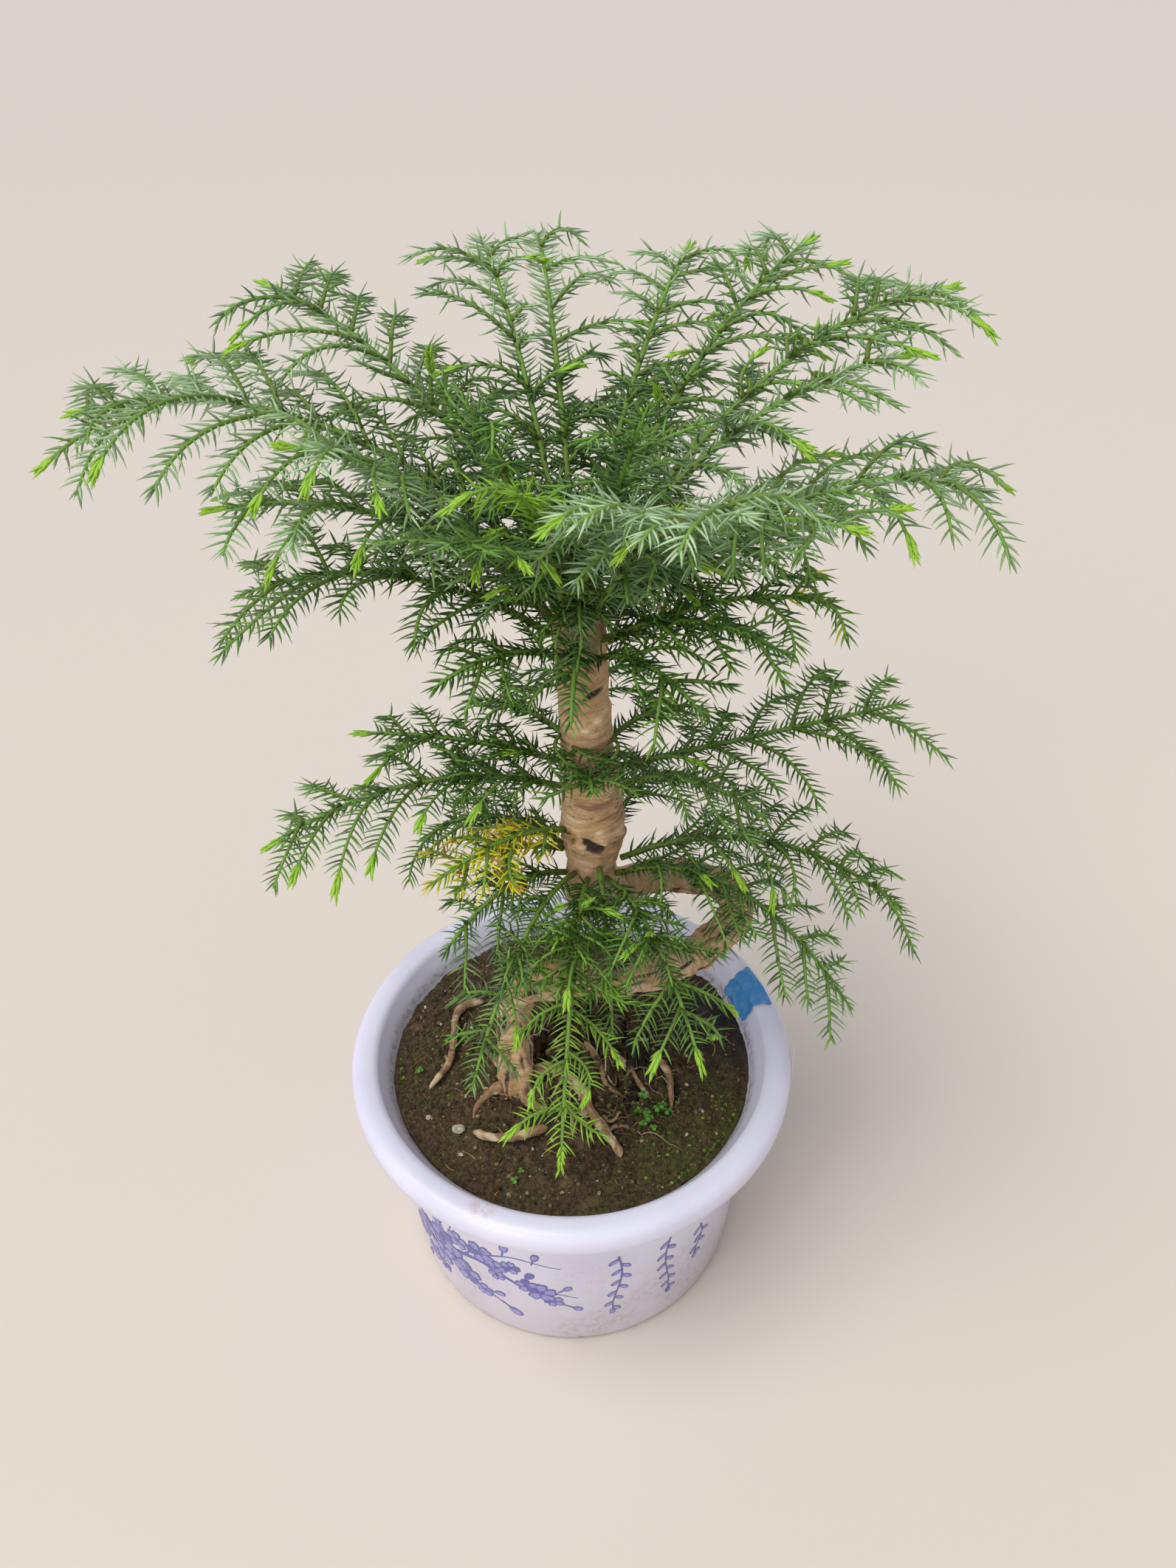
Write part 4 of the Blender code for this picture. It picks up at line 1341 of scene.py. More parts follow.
    def build(self) -> None:
        """Scatter each kind with its own seed."""
        chance = np.random.default_rng(11)
        x, y = self.spots(chance, self.crumbs)
        size = 0.00035 + 0.0013 * chance.uniform(0.0, 1.0, self.crumbs) ** 3
        lot = chance.uniform(0.0, 1.0, self.crumbs) ** 1.6
        crumb = Scatter("soil_crumb", ((0.0, (44, 34, 24)), (0.45, (92, 74, 52)),
                                       (0.80, (132, 110, 80)), (0.93, (168, 148, 118)),
                                       (1.0, (214, 208, 194))), 0.95)
        self.grains("soil_crumbs", crumb, "soil", chance, x, y, size, lot, 0.75)
        chance = np.random.default_rng(12)
        near = self.moss * 2 // 3
        right = self.spots(chance, near, (0.066, -0.062), 0.042)
        left = self.spots(chance, self.moss - near, (-0.086, -0.010), 0.030)
        x, y = np.concatenate([right[0], left[0]]), np.concatenate([right[1], left[1]])
        size = chance.uniform(0.0004, 0.0013, self.moss)
        cushion = Scatter("moss_cushion", ((0.0, (48, 56, 22)), (0.6, (78, 88, 32)),
                                           (0.9, (104, 124, 44)), (1.0, (128, 168, 52))), 0.95)
        self.grains("moss", cushion, "soil", chance, x, y, size,
                    chance.uniform(0.0, 1.0, self.moss) ** 1.3, 0.6)
        chance = np.random.default_rng(15)
        x, y = self.spots(chance, self.chips, (self.soil.mound[0] + 0.010, self.soil.mound[1] - 0.022), 0.046)
        bark_chip = Scatter("bark_chip", ((0.0, (40, 28, 20)), (0.5, (84, 60, 42)),
                                          (0.85, (134, 104, 76)), (1.0, (176, 150, 118))), 0.9)
        self.grains("bark_chips", bark_chip, "root_bark", chance, x, y,
                    0.0008 + 0.0026 * chance.uniform(0.0, 1.0, self.chips) ** 2.5,
                    chance.uniform(0.0, 1.0, self.chips) ** 1.4, 0.55)
        self.tangle(np.random.default_rng(13))
        self.fallen(np.random.default_rng(14))


# ---------------------------------------------------------------- the wood


@dataclass
class Stem:
    """The stem: root crown, flat loop and upright trunk, grown as one piece."""

    rows: tuple[tuple[float, float, float, float], ...] = (
        (-0.0330, -0.0262, 0.1365, 0.0132), (-0.0330, -0.0262, 0.1500, 0.0142),
        (-0.0332, -0.0254, 0.1670, 0.0134), (-0.0352, -0.0175, 0.1920, 0.0121),
        (-0.0340, -0.0090, 0.2160, 0.0115), (-0.0200, -0.0100, 0.2340, 0.0115),
        (0.0060, -0.0120, 0.2390, 0.0108), (0.0310, -0.0110, 0.2400, 0.0105),
        (0.0540, -0.0050, 0.2400, 0.0105), (0.0760, 0.0070, 0.2410, 0.0105),
        (0.0950, 0.0250, 0.2420, 0.0105), (0.1050, 0.0460, 0.2440, 0.0105),
        (0.0970, 0.0620, 0.2460, 0.0105), (0.0790, 0.0680, 0.2470, 0.0105),
        (0.0580, 0.0680, 0.2480, 0.0105), (0.0360, 0.0610, 0.2500, 0.0110),
        (0.0200, 0.0460, 0.2550, 0.0120), (0.0125, 0.0300, 0.2670, 0.0135),
        (0.0118, 0.0215, 0.2850, 0.0143), (0.0130, 0.0200, 0.3060, 0.0160),
        (0.0136, 0.0200, 0.3260, 0.0172), (0.0132, 0.0200, 0.3460, 0.0168),
        (0.0119, 0.0200, 0.3700, 0.0152), (0.0104, 0.0200, 0.3940, 0.0142),
        (0.0088, 0.0200, 0.4200, 0.0133), (0.0074, 0.0200, 0.4460, 0.0132),
        (0.0060, 0.0200, 0.4720, 0.0136), (0.0048, 0.0200, 0.4980, 0.0132),
        (0.0042, 0.0200, 0.5120, 0.0115))
    trunk_rows: int = 11
    steps: int = 18
    sides: int = 72
    slit: tuple[float, float, float] = (0.0140, 0.0075, 0.4280)
    collar: float = 0.3310
    knot: tuple[float, float, float] = (0.0125, 0.0030, 0.3290)
    fold_bands: tuple[tuple[float, float], ...] = ((0.356, 0.015), (0.290, 0.013))
    base_patch: tuple[float, float, float] = (0.0205, 0.0090, 0.2800)
    waist: tuple[float, float] = (0.3080, 0.013)
    pale_spots: tuple[tuple[float, float, float], ...] = (
        (0.0095, 0.0065, 0.4070), (0.0160, 0.0075, 0.4120),
        (0.0020, 0.0080, 0.3920), (0.0170, 0.0060, 0.3400))

    def trunk_at(self, height: float) -> tuple[Vector, float]:
        """The centre and radius of the upright trunk at a height, straight between its rows.

        Args:
            height: height over the floor, in metres.

        Returns:
            The centre and the radius.
        """
        rows = self.rows[-self.trunk_rows:]
        for low, high in zip(rows, rows[1:]):
            if low[2] <= height <= high[2]:
                t = (height - low[2]) / (high[2] - low[2])
                mixed = [a + (b - a) * t for a, b in zip(low, high)]
                return Vector((mixed[0], mixed[1], height)), mixed[3]
        raise ValueError(f"no trunk at {height}")

    def near(self, points: np.ndarray, spot: tuple[float, float, float], size: tuple[float, float, float],
             lean: float = 0.0) -> np.ndarray:
        """1 at a spot, fading as a Gaussian of its own width each way, leant in the XZ plane.

        Args:
            points: the points to weigh.
            spot: the middle.
            size: width along each axis.
            lean: the lean, in radians.

        Returns:
            A weight from 0 to 1 for each point.
        """
        away = points - np.array(spot)
        c, s = math.cos(lean), math.sin(lean)
        away = np.stack([away[:, 0] * c + away[:, 2] * s, away[:, 1], away[:, 2] * c - away[:, 0] * s], -1)
        return np.exp(-((away / np.array(size)) ** 2).sum(1) / 2.0)

    def build(self, joints: np.ndarray) -> None:
        """Carry a wrinkled ring along the smooth path through the rows.

        The radius swells at each branch's foot, and ring wrinkles run round the bark.

        Args:
            joints: Where the branches leave the trunk, (n, 3).
        """
        curve = catmull(np.array(self.rows), self.steps)
        path, radius = curve[:, :3], curve[:, 3]
        _, across, over = carried_frames(path)
        run = distances(path)
        turn, ring = circle(self.sides)
        out = across[:, None] * np.cos(turn)[:, None] + over[:, None] * np.sin(turn)[:, None]
        foot = 1.0 - smooth_step(run, 0.05, 0.12)
        flutes = np.cos(5.0 * turn + 40.0 * run[:, None]) + 0.6 * np.cos(3.0 * turn - 25.0 * run[:, None])
        to_top = np.clip((run[-1] - run) / radius[-1], 0.0, 1.0)
        radius = radius * (1.0 - 0.17 * foot) * np.sqrt(np.maximum(1.0 - (1.0 - to_top) ** 2, 0.01))
        out = out * (1.0 + 0.085 * foot[:, None] * flutes)[..., None]
        skin = (path[:, None] + out * radius[:, None, None]).reshape(-1, 3)
        grain = limb_grain(ring, radius, run)
        upright = smooth_step(np.repeat(run, self.sides), 0.29, 0.33)
        bands = sum(bell(skin[:, 2] - middle, width) for middle, width in self.fold_bands)
        ringed = 0.12 + upright * (0.10 + 0.78 * np.clip(bands, 0.0, 1.0))
        wrinkle = waves(grain * np.array([0.30, 0.30, 1.0]), 0.0040, 21, 40)
        lumps = 0.00055 * waves(grain, 0.012, 22, 24) + 0.00030 * waves(grain, 0.0050, 28, 32)
        knobs = bell(np.linalg.norm(skin[:, None] - joints[None], axis=2), 0.0048).max(1)
        pinch = skin[:, 2] - self.collar - 0.0040 * waves(skin, 0.030, 23)
        groove = bell(pinch, 0.0022) * upright
        folds = (bell(pinch - 0.0055, 0.0035) + bell(pinch + 0.0055, 0.0035)) * upright
        slit = self.near(skin, self.slit, (0.0040, 0.007, 0.0011), math.radians(24.0))
        knot = self.near(skin, self.knot, (0.0034, 0.004, 0.0030))
        patch = self.near(skin, self.base_patch, (0.0075, 0.009, 0.0050))
        patch = patch * (0.6 + 0.4 * waves(skin, 0.004, 24))
        spots = sum(self.near(skin, spot, (0.0016, 0.004, 0.0010)) for spot in self.pale_spots)
        waist = bell(skin[:, 2] - self.waist[0], self.waist[1]) * upright
        split = waves(grain * np.array([1.0, 1.0, 0.22]), 0.0048, 33, 40)
        height = (0.00075 * wrinkle * ringed + lumps * (1.3 - 0.9 * upright)
                  + 0.00045 * waves(grain, 0.020, 25) + 0.0010 * knobs - 0.0030 * groove
                  + folds * (0.0012 + 0.0015 * waves(skin, 0.0065, 26, 24))
                  - 0.0022 * slit + 0.0005 * spots + 0.0008 * knot - 0.0020 * waist
                  - 0.0008 * smooth_step(split, 0.2, 0.9) * (1.0 - upright))
        points = skin + out.reshape(-1, 3) * height[:, None]
        rough_bark = ((0.48 * smooth_step(waves(grain, 0.012, 29, 24), -0.1, 0.6)
                       + 0.75 * smooth_step(split, 0.30, 0.9)) * (1.0 - upright))
        gaps = np.clip(0.45 + 0.5 * waves(skin, 0.0080, 27, 24), 0.0, 1.0)
        # bark cracks and painted shade: the collar groove is darkened, partly as cracks and partly as shade
        # in the recess
        scar = (slit * 2.2 + 1.2 * patch + 1.6 * groove * gaps + rough_bark + 0.30 * knobs
                + 1.4 * folds * np.clip(gaps - 0.50, 0.0, 1.0)
                + 0.8 * knot * np.clip(waves(skin, 0.0030, 31, 24), 0.0, 1.0))
        light = np.clip(0.5 * waves(grain, 0.018, 30) + 0.1, 0.0, 0.5) * (1.0 - 0.5 * upright)
        shape = Shape()
        walls, caps = tube_faces(1, len(path), self.sides)
        shape.add(points, [walls, caps], grain=grain, scar=np.clip(scar, 0.0, 1.0), ringed=ringed,
                  pale=np.clip(spots + light, 0.0, 1.0))
        settle(shape.build("stem_wood", [Bark().make()]), "bark", "stem")


# The (x, y) points of a root, and its radius at either end.
Route = tuple[tuple[tuple[float, float], ...], float, float]


@dataclass
class SurfaceRoots:
    """The bare roots that lie on the soil, with knuckles and side roots."""

    soil: Soil
    nodes: dict[str, Route] = field(default_factory=lambda: {
        "surface_root_left": (((-0.059, 0.041), (-0.071, 0.038), (-0.077, 0.029), (-0.077, 0.014),
                               (-0.077, 0.001), (-0.079, -0.012), (-0.089, -0.029)), 0.0026, 0.0020),
        "surface_root_front": (((-0.059, -0.062), (-0.048, -0.067), (-0.035, -0.067), (-0.024, -0.064),
                                (-0.014, -0.061)), 0.0024, 0.0032),
        "surface_root_centre": (((-0.003, -0.028), (0.007, -0.039), (0.012, -0.050), (0.020, -0.062),
                                 (0.027, -0.072), (0.030, -0.080)), 0.0036, 0.0026),
        "surface_root_right": (((0.055, -0.010), (0.061, -0.022), (0.062, -0.032), (0.062, -0.045)),
                               0.0024, 0.0018)})
    extras: dict[str, Route] = field(default_factory=lambda: {
        "crown_root_1": (((-0.036, -0.020), (-0.044, -0.014), (-0.052, -0.004), (-0.058, 0.004)),
                         0.0040, 0.0012),
        "crown_root_2": (((-0.040, -0.030), (-0.050, -0.034), (-0.058, -0.043), (-0.060, -0.052)),
                         0.0042, 0.0010),
        "crown_root_3": (((-0.030, -0.032), (-0.028, -0.040), (-0.018, -0.046), (-0.006, -0.047)),
                         0.0040, 0.0009),
        "crown_root_4": (((-0.026, -0.024), (-0.014, -0.022), (-0.004, -0.026), (0.006, -0.034)),
                         0.0044, 0.0014),
        "thin_root_1": (((-0.056, -0.028), (-0.044, -0.034), (-0.030, -0.038), (-0.012, -0.040)),
                        0.0011, 0.0008),
        "thin_root_2": (((0.020, -0.062), (0.028, -0.058), (0.036, -0.059)), 0.0015, 0.0010),
        "thin_root_3": (((0.020, -0.010), (0.034, -0.018), (0.044, -0.032), (0.050, -0.040)),
                        0.0022, 0.0009),
        "thin_root_4": (((0.008, -0.006), (0.018, -0.020), (0.022, -0.032), (0.034, -0.040)),
                        0.0026, 0.0009)})
    lift: float = 0.0012
    sink: float = 0.0022
    sides: int = 20

    def build(self) -> None:
        """Carry a ring along each route, a little above the soil, thinning and knuckled."""
        finish = Bark("root_bark", tint(166, 132, 98), tint(110, 80, 56), tint(140, 106, 72),
                      tint(46, 33, 25), tint(206, 182, 150), (520.0, 520.0, 90.0), 0.0007).make()
        turn, ring = circle(self.sides)
        for seed, (name, (route, first, last)) in enumerate({**self.nodes, **self.extras}.items()):
            flat = catmull(np.array(route), 14)
            share = np.linspace(0.0, 1.0, len(flat))
            radius = first + (last - first) * share
            ends = np.minimum(1.0, np.sqrt(np.clip(np.minimum(share, 1.0 - share) / 0.10, 0.0, 1.0)) + 0.10)
            sink = (0.0 if name in self.nodes else self.sink) + 0.0015 * (1 - ends)
            height = self.soil.height(flat[:, 0], flat[:, 1]) + radius + self.lift - sink
            path = np.concatenate([flat, height[:, None]], 1)
            _, across, over = carried_frames(path)
            out = across[:, None] * np.cos(turn)[:, None] + over[:, None] * np.sin(turn)[:, None]
            grain = limb_grain(ring, radius, distances(path))
            swell = 1.0 + 0.17 * waves(grain, 0.016, 40 + seed) + 0.10 * waves(grain, 0.0042, 50 + seed, 24)
            reach = (radius * ends)[:, None] * swell.reshape(len(path), self.sides)
            points = path[:, None] + out * reach[..., None]
            # painted shade: each root's underside is darkened
            under = np.clip(-out[..., 2].ravel() - 0.15, 0.0, 1.0)
            scar = np.clip(0.6 * waves(grain, 0.007, 60 + seed, 24) - 0.35 + under, 0.0, 1.0)
            shape = Shape()
            shape.add(points, list(tube_faces(1, len(path), self.sides)), grain=grain, scar=scar,
                      ringed=0.45, pale=np.clip(0.7 * waves(grain, 0.012, 70 + seed), 0.0, 0.8))
            stands_for = [name] if name in self.nodes else []
            settle(shape.build(name + "_wood", [finish]), "root_bark", *stands_for)


# ---------------------------------------------------------------- the foliage


class Tone(Enum):
    """How a branch's needles are coloured: (waxy bloom, share gone golden, young outer half)."""

    WAXY = (1.0, 0.0, 0.0)
    GREEN = (0.26, 0.0, 0.0)
    DEEP = (0.12, 0.0, 0.0)
    OLIVE = (0.04, 0.10, 0.10)
    YOUNG = (0.06, 0.0, 0.75)
    GOLDEN = (0.05, 1.7, 0.45)


@dataclass(frozen=True)
class Branch:
    """One leafy branch: where it leaves the trunk, where its tip is, and how it is clothed.

    The heights are of its start and tip, bow is how far its middle rises, shoot is its side shoots'
    length and fresh is the share of its shoots that end in new growth.
    """

    start_height: float
    start_bearing: float
    tip_bearing: float
    reach: float
    tip_height: float
    bow: float
    shoot: float
    tone: Tone
    fresh: float = 0.2


BRANCHES = {
    "crown_low_branch_1": Branch(0.452, 5, 2, 0.124, 0.473, 0.012, 0.044, Tone.OLIVE, 0.0),
    "crown_low_branch_2": Branch(0.459, 325, 336, 0.106, 0.472, 0.014, 0.042, Tone.DEEP, 0.0),
    "crown_low_branch_3": Branch(0.450, 300, 312, 0.084, 0.452, 0.012, 0.036, Tone.DEEP, 0.0),
    "crown_low_branch_4": Branch(0.457, 268, 266, 0.055, 0.440, 0.010, 0.028, Tone.GREEN, 0.0),
    "crown_low_branch_5": Branch(0.450, 230, 214, 0.082, 0.456, 0.010, 0.038, Tone.DEEP, 0.1),
    "crown_low_branch_6": Branch(0.458, 186, 181, 0.164, 0.482, 0.022, 0.058, Tone.GREEN, 0.1),
    "crown_low_branch_7": Branch(0.452, 138, 138, 0.130, 0.475, 0.015, 0.046, Tone.DEEP, 0.0),
    "crown_low_branch_8": Branch(0.459, 92, 88, 0.130, 0.465, 0.015, 0.046, Tone.DEEP, 0.0),
    "crown_low_branch_9": Branch(0.452, 48, 45, 0.125, 0.472, 0.015, 0.044, Tone.OLIVE, 0.0),
    "crown_mid_branch_1": Branch(0.474, 18, 6, 0.112, 0.511, 0.006, 0.038, Tone.DEEP, 0.1),
    "crown_mid_branch_2": Branch(0.470, 345, 345, 0.178, 0.554, 0.030, 0.052, Tone.WAXY, 0.4),
    "crown_mid_branch_3": Branch(0.477, 318, 317, 0.144, 0.563, 0.020, 0.042, Tone.WAXY, 0.3),
    "crown_mid_branch_4": Branch(0.470, 292, 295, 0.142, 0.582, 0.020, 0.042, Tone.WAXY, 0.2),
    "crown_mid_branch_5": Branch(0.478, 270, 283, 0.120, 0.576, 0.020, 0.036, Tone.WAXY, 0.2),
    "crown_mid_branch_6": Branch(0.470, 248, 254, 0.078, 0.566, 0.015, 0.032, Tone.YOUNG, 0.3),
    "crown_mid_branch_7": Branch(0.478, 226, 239, 0.103, 0.549, 0.015, 0.036, Tone.GREEN, 0.3),
    "crown_mid_branch_8": Branch(0.471, 204, 212, 0.129, 0.583, 0.020, 0.042, Tone.WAXY, 0.4),
    "crown_mid_branch_9": Branch(0.478, 182, 192, 0.158, 0.541, 0.020, 0.048, Tone.WAXY, 0.4),
    "crown_mid_branch_10": Branch(0.472, 125, 122, 0.135, 0.540, 0.020, 0.046, Tone.GREEN, 0.1),
    "crown_mid_branch_11": Branch(0.476, 70, 72, 0.135, 0.540, 0.020, 0.046, Tone.GREEN, 0.1),
    "crown_top_branch_1": Branch(0.493, 176, 178, 0.222, 0.569, 0.035, 0.072, Tone.WAXY, 0.4),
    "crown_top_branch_2": Branch(0.497, 146, 146, 0.182, 0.597, 0.020, 0.058, Tone.WAXY, 0.4),
    "crown_top_branch_3": Branch(0.492, 115, 109, 0.150, 0.609, 0.020, 0.044, Tone.WAXY, 0.4),
    "crown_top_branch_4": Branch(0.500, 92, 97, 0.160, 0.607, 0.020, 0.044, Tone.WAXY, 0.1),
    "crown_top_branch_5": Branch(0.491, 68, 69, 0.165, 0.601, 0.020, 0.044, Tone.WAXY, 0.1),
    "crown_top_branch_6": Branch(0.500, 46, 47, 0.172, 0.611, 0.020, 0.046, Tone.WAXY, 0.5),
    "crown_top_branch_7": Branch(0.491, 22, 21, 0.186, 0.605, 0.030, 0.054, Tone.WAXY, 0.5),
    "crown_top_branch_8": Branch(0.498, 355, 5, 0.144, 0.591, 0.020, 0.044, Tone.WAXY, 0.3),
    "crown_heart_branch_1": Branch(0.501, 300, 300, 0.060, 0.592, 0.000, 0.034, Tone.GREEN, 0.0),
    "crown_heart_branch_2": Branch(0.501, 225, 215, 0.055, 0.590, 0.000, 0.034, Tone.GREEN, 0.0),
    "middle_branch_1": Branch(0.376, 172, 172, 0.124, 0.384, 0.005, 0.034, Tone.DEEP, 0.2),
    "middle_branch_2": Branch(0.386, 138, 142, 0.084, 0.383, 0.008, 0.030, Tone.DEEP, 0.1),
    "middle_branch_3": Branch(0.364, 198, 190, 0.174, 0.345, 0.022, 0.050, Tone.GREEN, 0.4),
    "middle_branch_4": Branch(0.372, 8, 8, 0.172, 0.398, 0.000, 0.064, Tone.GREEN, 0.1),
    "middle_branch_5": Branch(0.366, 335, 334, 0.100, 0.374, 0.014, 0.040, Tone.GREEN, 0.1),
    "middle_branch_6": Branch(0.382, 48, 42, 0.080, 0.372, 0.010, 0.032, Tone.OLIVE, 0.3),
    "middle_branch_7": Branch(0.377, 268, 272, 0.045, 0.392, 0.004, 0.030, Tone.GREEN, 0.2),
    "middle_branch_8": Branch(0.370, 95, 95, 0.110, 0.360, 0.020, 0.042, Tone.DEEP, 0.0),
    "lower_branch_1": Branch(0.319, 198, 200, 0.096, 0.316, 0.012, 0.036, Tone.GOLDEN, 0.2),
    "lower_branch_2": Branch(0.302, 206, 203, 0.092, 0.266, 0.018, 0.036, Tone.GREEN, 0.0),
    "lower_branch_3": Branch(0.337, 215, 210, 0.084, 0.338, 0.008, 0.032, Tone.GOLDEN, 0.2),
    "lower_branch_4": Branch(0.309, 352, 355, 0.180, 0.283, 0.032, 0.048, Tone.GREEN, 0.1),
    "lower_branch_5": Branch(0.302, 330, 339, 0.160, 0.242, 0.040, 0.042, Tone.GREEN, 0.1),
    "lower_branch_6": Branch(0.305, 262, 262, 0.126, 0.190, 0.045, 0.036, Tone.YOUNG, 0.7),
    "lower_branch_7": Branch(0.304, 300, 299, 0.120, 0.253, 0.025, 0.036, Tone.GREEN, 0.4),
    "lower_branch_8": Branch(0.308, 236, 235, 0.118, 0.220, 0.030, 0.034, Tone.GREEN, 0.2),
    "lower_branch_9": Branch(0.314, 283, 279, 0.073, 0.236, 0.020, 0.026, Tone.GREEN, 0.0),
    "lower_branch_10": Branch(0.312, 160, 160, 0.110, 0.290, 0.020, 0.042, Tone.DEEP, 0.0),
    "lower_branch_11": Branch(0.312, 58, 60, 0.110, 0.290, 0.020, 0.042, Tone.DEEP, 0.0),
}

Curve = tuple[Vector, Vector, Vector]


def level_bearing(degrees: float) -> Vector:
    """The level unit vector at a bearing."""
    angle = math.radians(degrees)
    return Vector((math.cos(angle), math.sin(angle), 0.0))


def segment_distance(a: Vector, b: Vector, c: Vector, d: Vector) -> float:
    """Shortest distance between the segments a-b and c-d.

    Args:
        a: start of the first.
        b: its end.
        c: start of the second.
        d: its end.

    Returns:
        The distance, in metres.
    """
    u, v, w = b - a, d - c, a - c
    uu, uv, vv, uw, vw = u.dot(u), u.dot(v), v.dot(v), u.dot(w), v.dot(w)
    spread = uu * vv - uv * uv
    s = min(1.0, max(0.0, (uv * vw - vv * uw) / spread)) if spread > 1e-14 else 0.0
    t = min(1.0, max(0.0, (uv * s + vw) / vv)) if vv > 1e-14 else 0.0
    s = min(1.0, max(0.0, (uv * t - uw) / uu)) if uu > 1e-14 else 0.0
    return (w + u * s - v * t).length


@dataclass
class Growth:
    """Grows every branch's side shoots, each clear of the other branches."""

    stem: Stem
    gap: float = 0.0004
    branch_radius: float = 0.0038
    shoot_radius: float = 0.0026
    spacing: float = 0.021
    angle: float = math.radians(56)
    first: float = 0.020
    last: float = 0.012
    shortest: float = 0.010
    clearance: float = 0.0008
    lowest: float = 0.180
    taken: list[tuple] = field(default_factory=list)

    def take(self, owner: str, a: Vector, b: Vector, radius: float) -> None:
        """Record the room of one segment."""
        self.taken.append((owner, a, b, radius, (a + b) / 2, (b - a).length / 2 + radius))

    def is_clear(self, owner: str, a: Vector, b: Vector) -> bool:
        """True where a shoot's segment misses every other branch's.

        Args:
            owner: the shoot's branch.
            a: start of the segment.
            b: its end.

        Returns:
            True where nothing is touched.
        """
        middle = (a + b) / 2
        half = (b - a).length / 2 + self.shoot_radius + self.clearance
        for other, c, d, radius, centre, size in self.taken:
            if other == owner or (centre - middle).length > half + size:
                continue
            if segment_distance(a, b, c, d) < self.shoot_radius + radius + self.clearance:
                return False
        return True

    def axis(self, plan: Branch) -> Curve:
        """A branch's axis: the start, control and tip of a quadratic curve.

        Args:
            plan: the branch's numbers.

        Returns:
            The curve.
        """
        centre, radius = self.stem.trunk_at(plan.start_height)
        start = centre + level_bearing(plan.start_bearing) * (radius + 2 * self.gap)
        tip = centre + level_bearing(plan.tip_bearing) * plan.reach
        tip.z = plan.tip_height
        middle = (start + tip) / 2 + UP * plan.bow
        return start, 2 * middle - (start + tip) / 2, tip

    def fit(self, name: str, point: Vector, out: Vector, reach: float) -> Curve | None:
        """A drooping shoot, shortened until it is clear of the others, or None.

        Args:
            name: the shoot's branch.
            point: where it starts.
            out: the way it grows.
            reach: the length it would have.

        Returns:
            The shoot, or None where it has no room.
        """
        droop = (out - UP * 0.55).normalized()
        while reach > self.shortest:
            knee = point + out * reach * 0.55
            end = knee + droop * reach * 0.45
            if end.z > self.lowest and self.is_clear(name, point, knee) and self.is_clear(name, knee, end):
                self.take(name, point, knee, self.shoot_radius)
                self.take(name, knee, end, self.shoot_radius)
                return point, knee, end
            reach *= 0.8
        return None

    def shoots(self, name: str, curve: Curve, length: float, size: float) -> list[tuple[float, Curve]]:
        """A branch's side shoots in pairs, each with its place on the axis.

        Args:
            name: the branch.
            curve: its axis.
            length: its length.
            size: length of its longest shoot.

        Returns:
            The shoots and their places.
        """
        chance = random.Random(name)
        bare = self.first + self.last
        count = max(1, round((length - self.first - self.last) / self.spacing))
        grown = []
        for i in range(count):
            place = (self.first + (i + 0.5) * (length - bare) / count) / length
            point, along = quadratic(curve, place)
            along.normalize()
            level = along.cross(UP).normalized()
            shape = 0.58 + 0.42 * math.sin(math.pi * place ** 1.15)
            for side in (-1.0, 1.0):
                reach = size * shape * chance.uniform(0.85, 1.15)
                lift = chance.uniform(-0.10, 0.22)
                turn = self.angle * chance.uniform(0.88, 1.12)
                out = (along * math.cos(turn) + level * side * math.sin(turn) + UP * lift).normalized()
                shoot = self.fit(name, point, out, reach)
                if shoot:
                    grown.append((place, shoot))
        return grown

    def grow(self) -> dict[str, tuple[Curve, list[tuple[float, Curve]]]]:
        """Every branch's axis and shoots, in the order in which they compete for room.

        Returns:
            The axis and the shoots under each branch's name.
        """
        for low, high in zip(self.stem.rows, self.stem.rows[1:]):
            self.take("stem", Vector(low[:3]), Vector(high[:3]), max(low[3], high[3]))
        axes = {}
        for name, plan in BRANCHES.items():
            curve = self.axis(plan)
            points = [quadratic(curve, i / 10)[0] for i in range(11)]
            for a, b in zip(points, points[1:]):
                self.take(name, a, b, self.branch_radius)
            axes[name] = (curve, sum((b - a).length for a, b in zip(points, points[1:])))
        return {name: (curve, self.shoots(name, curve, length, BRANCHES[name].shoot))
                for name, (curve, length) in axes.items()}


@dataclass
class Twigs:
    """Many twigs as arrays: quadratic curves with a radius at each end."""

    start: np.ndarray
    control: np.ndarray
    end: np.ndarray
    thick: np.ndarray
    thin: np.ndarray
    place: np.ndarray
    fresh: np.ndarray

    def at(self, owner: np.ndarray, t: np.ndarray) -> tuple[np.ndarray, np.ndarray]:
        """Points and slopes of the owners' curves at t."""
        return quadratic((self.start[owner], self.control[owner], self.end[owner]), t[..., None])

    def lengths(self) -> np.ndarray:
        """Length of each twig, from its chord and its control lines."""
        chord = np.linalg.norm(self.end - self.start, axis=1)
        lines = (np.linalg.norm(self.control - self.start, axis=1)
                 + np.linalg.norm(self.end - self.control, axis=1))
        return (2 * chord + lines) / 3


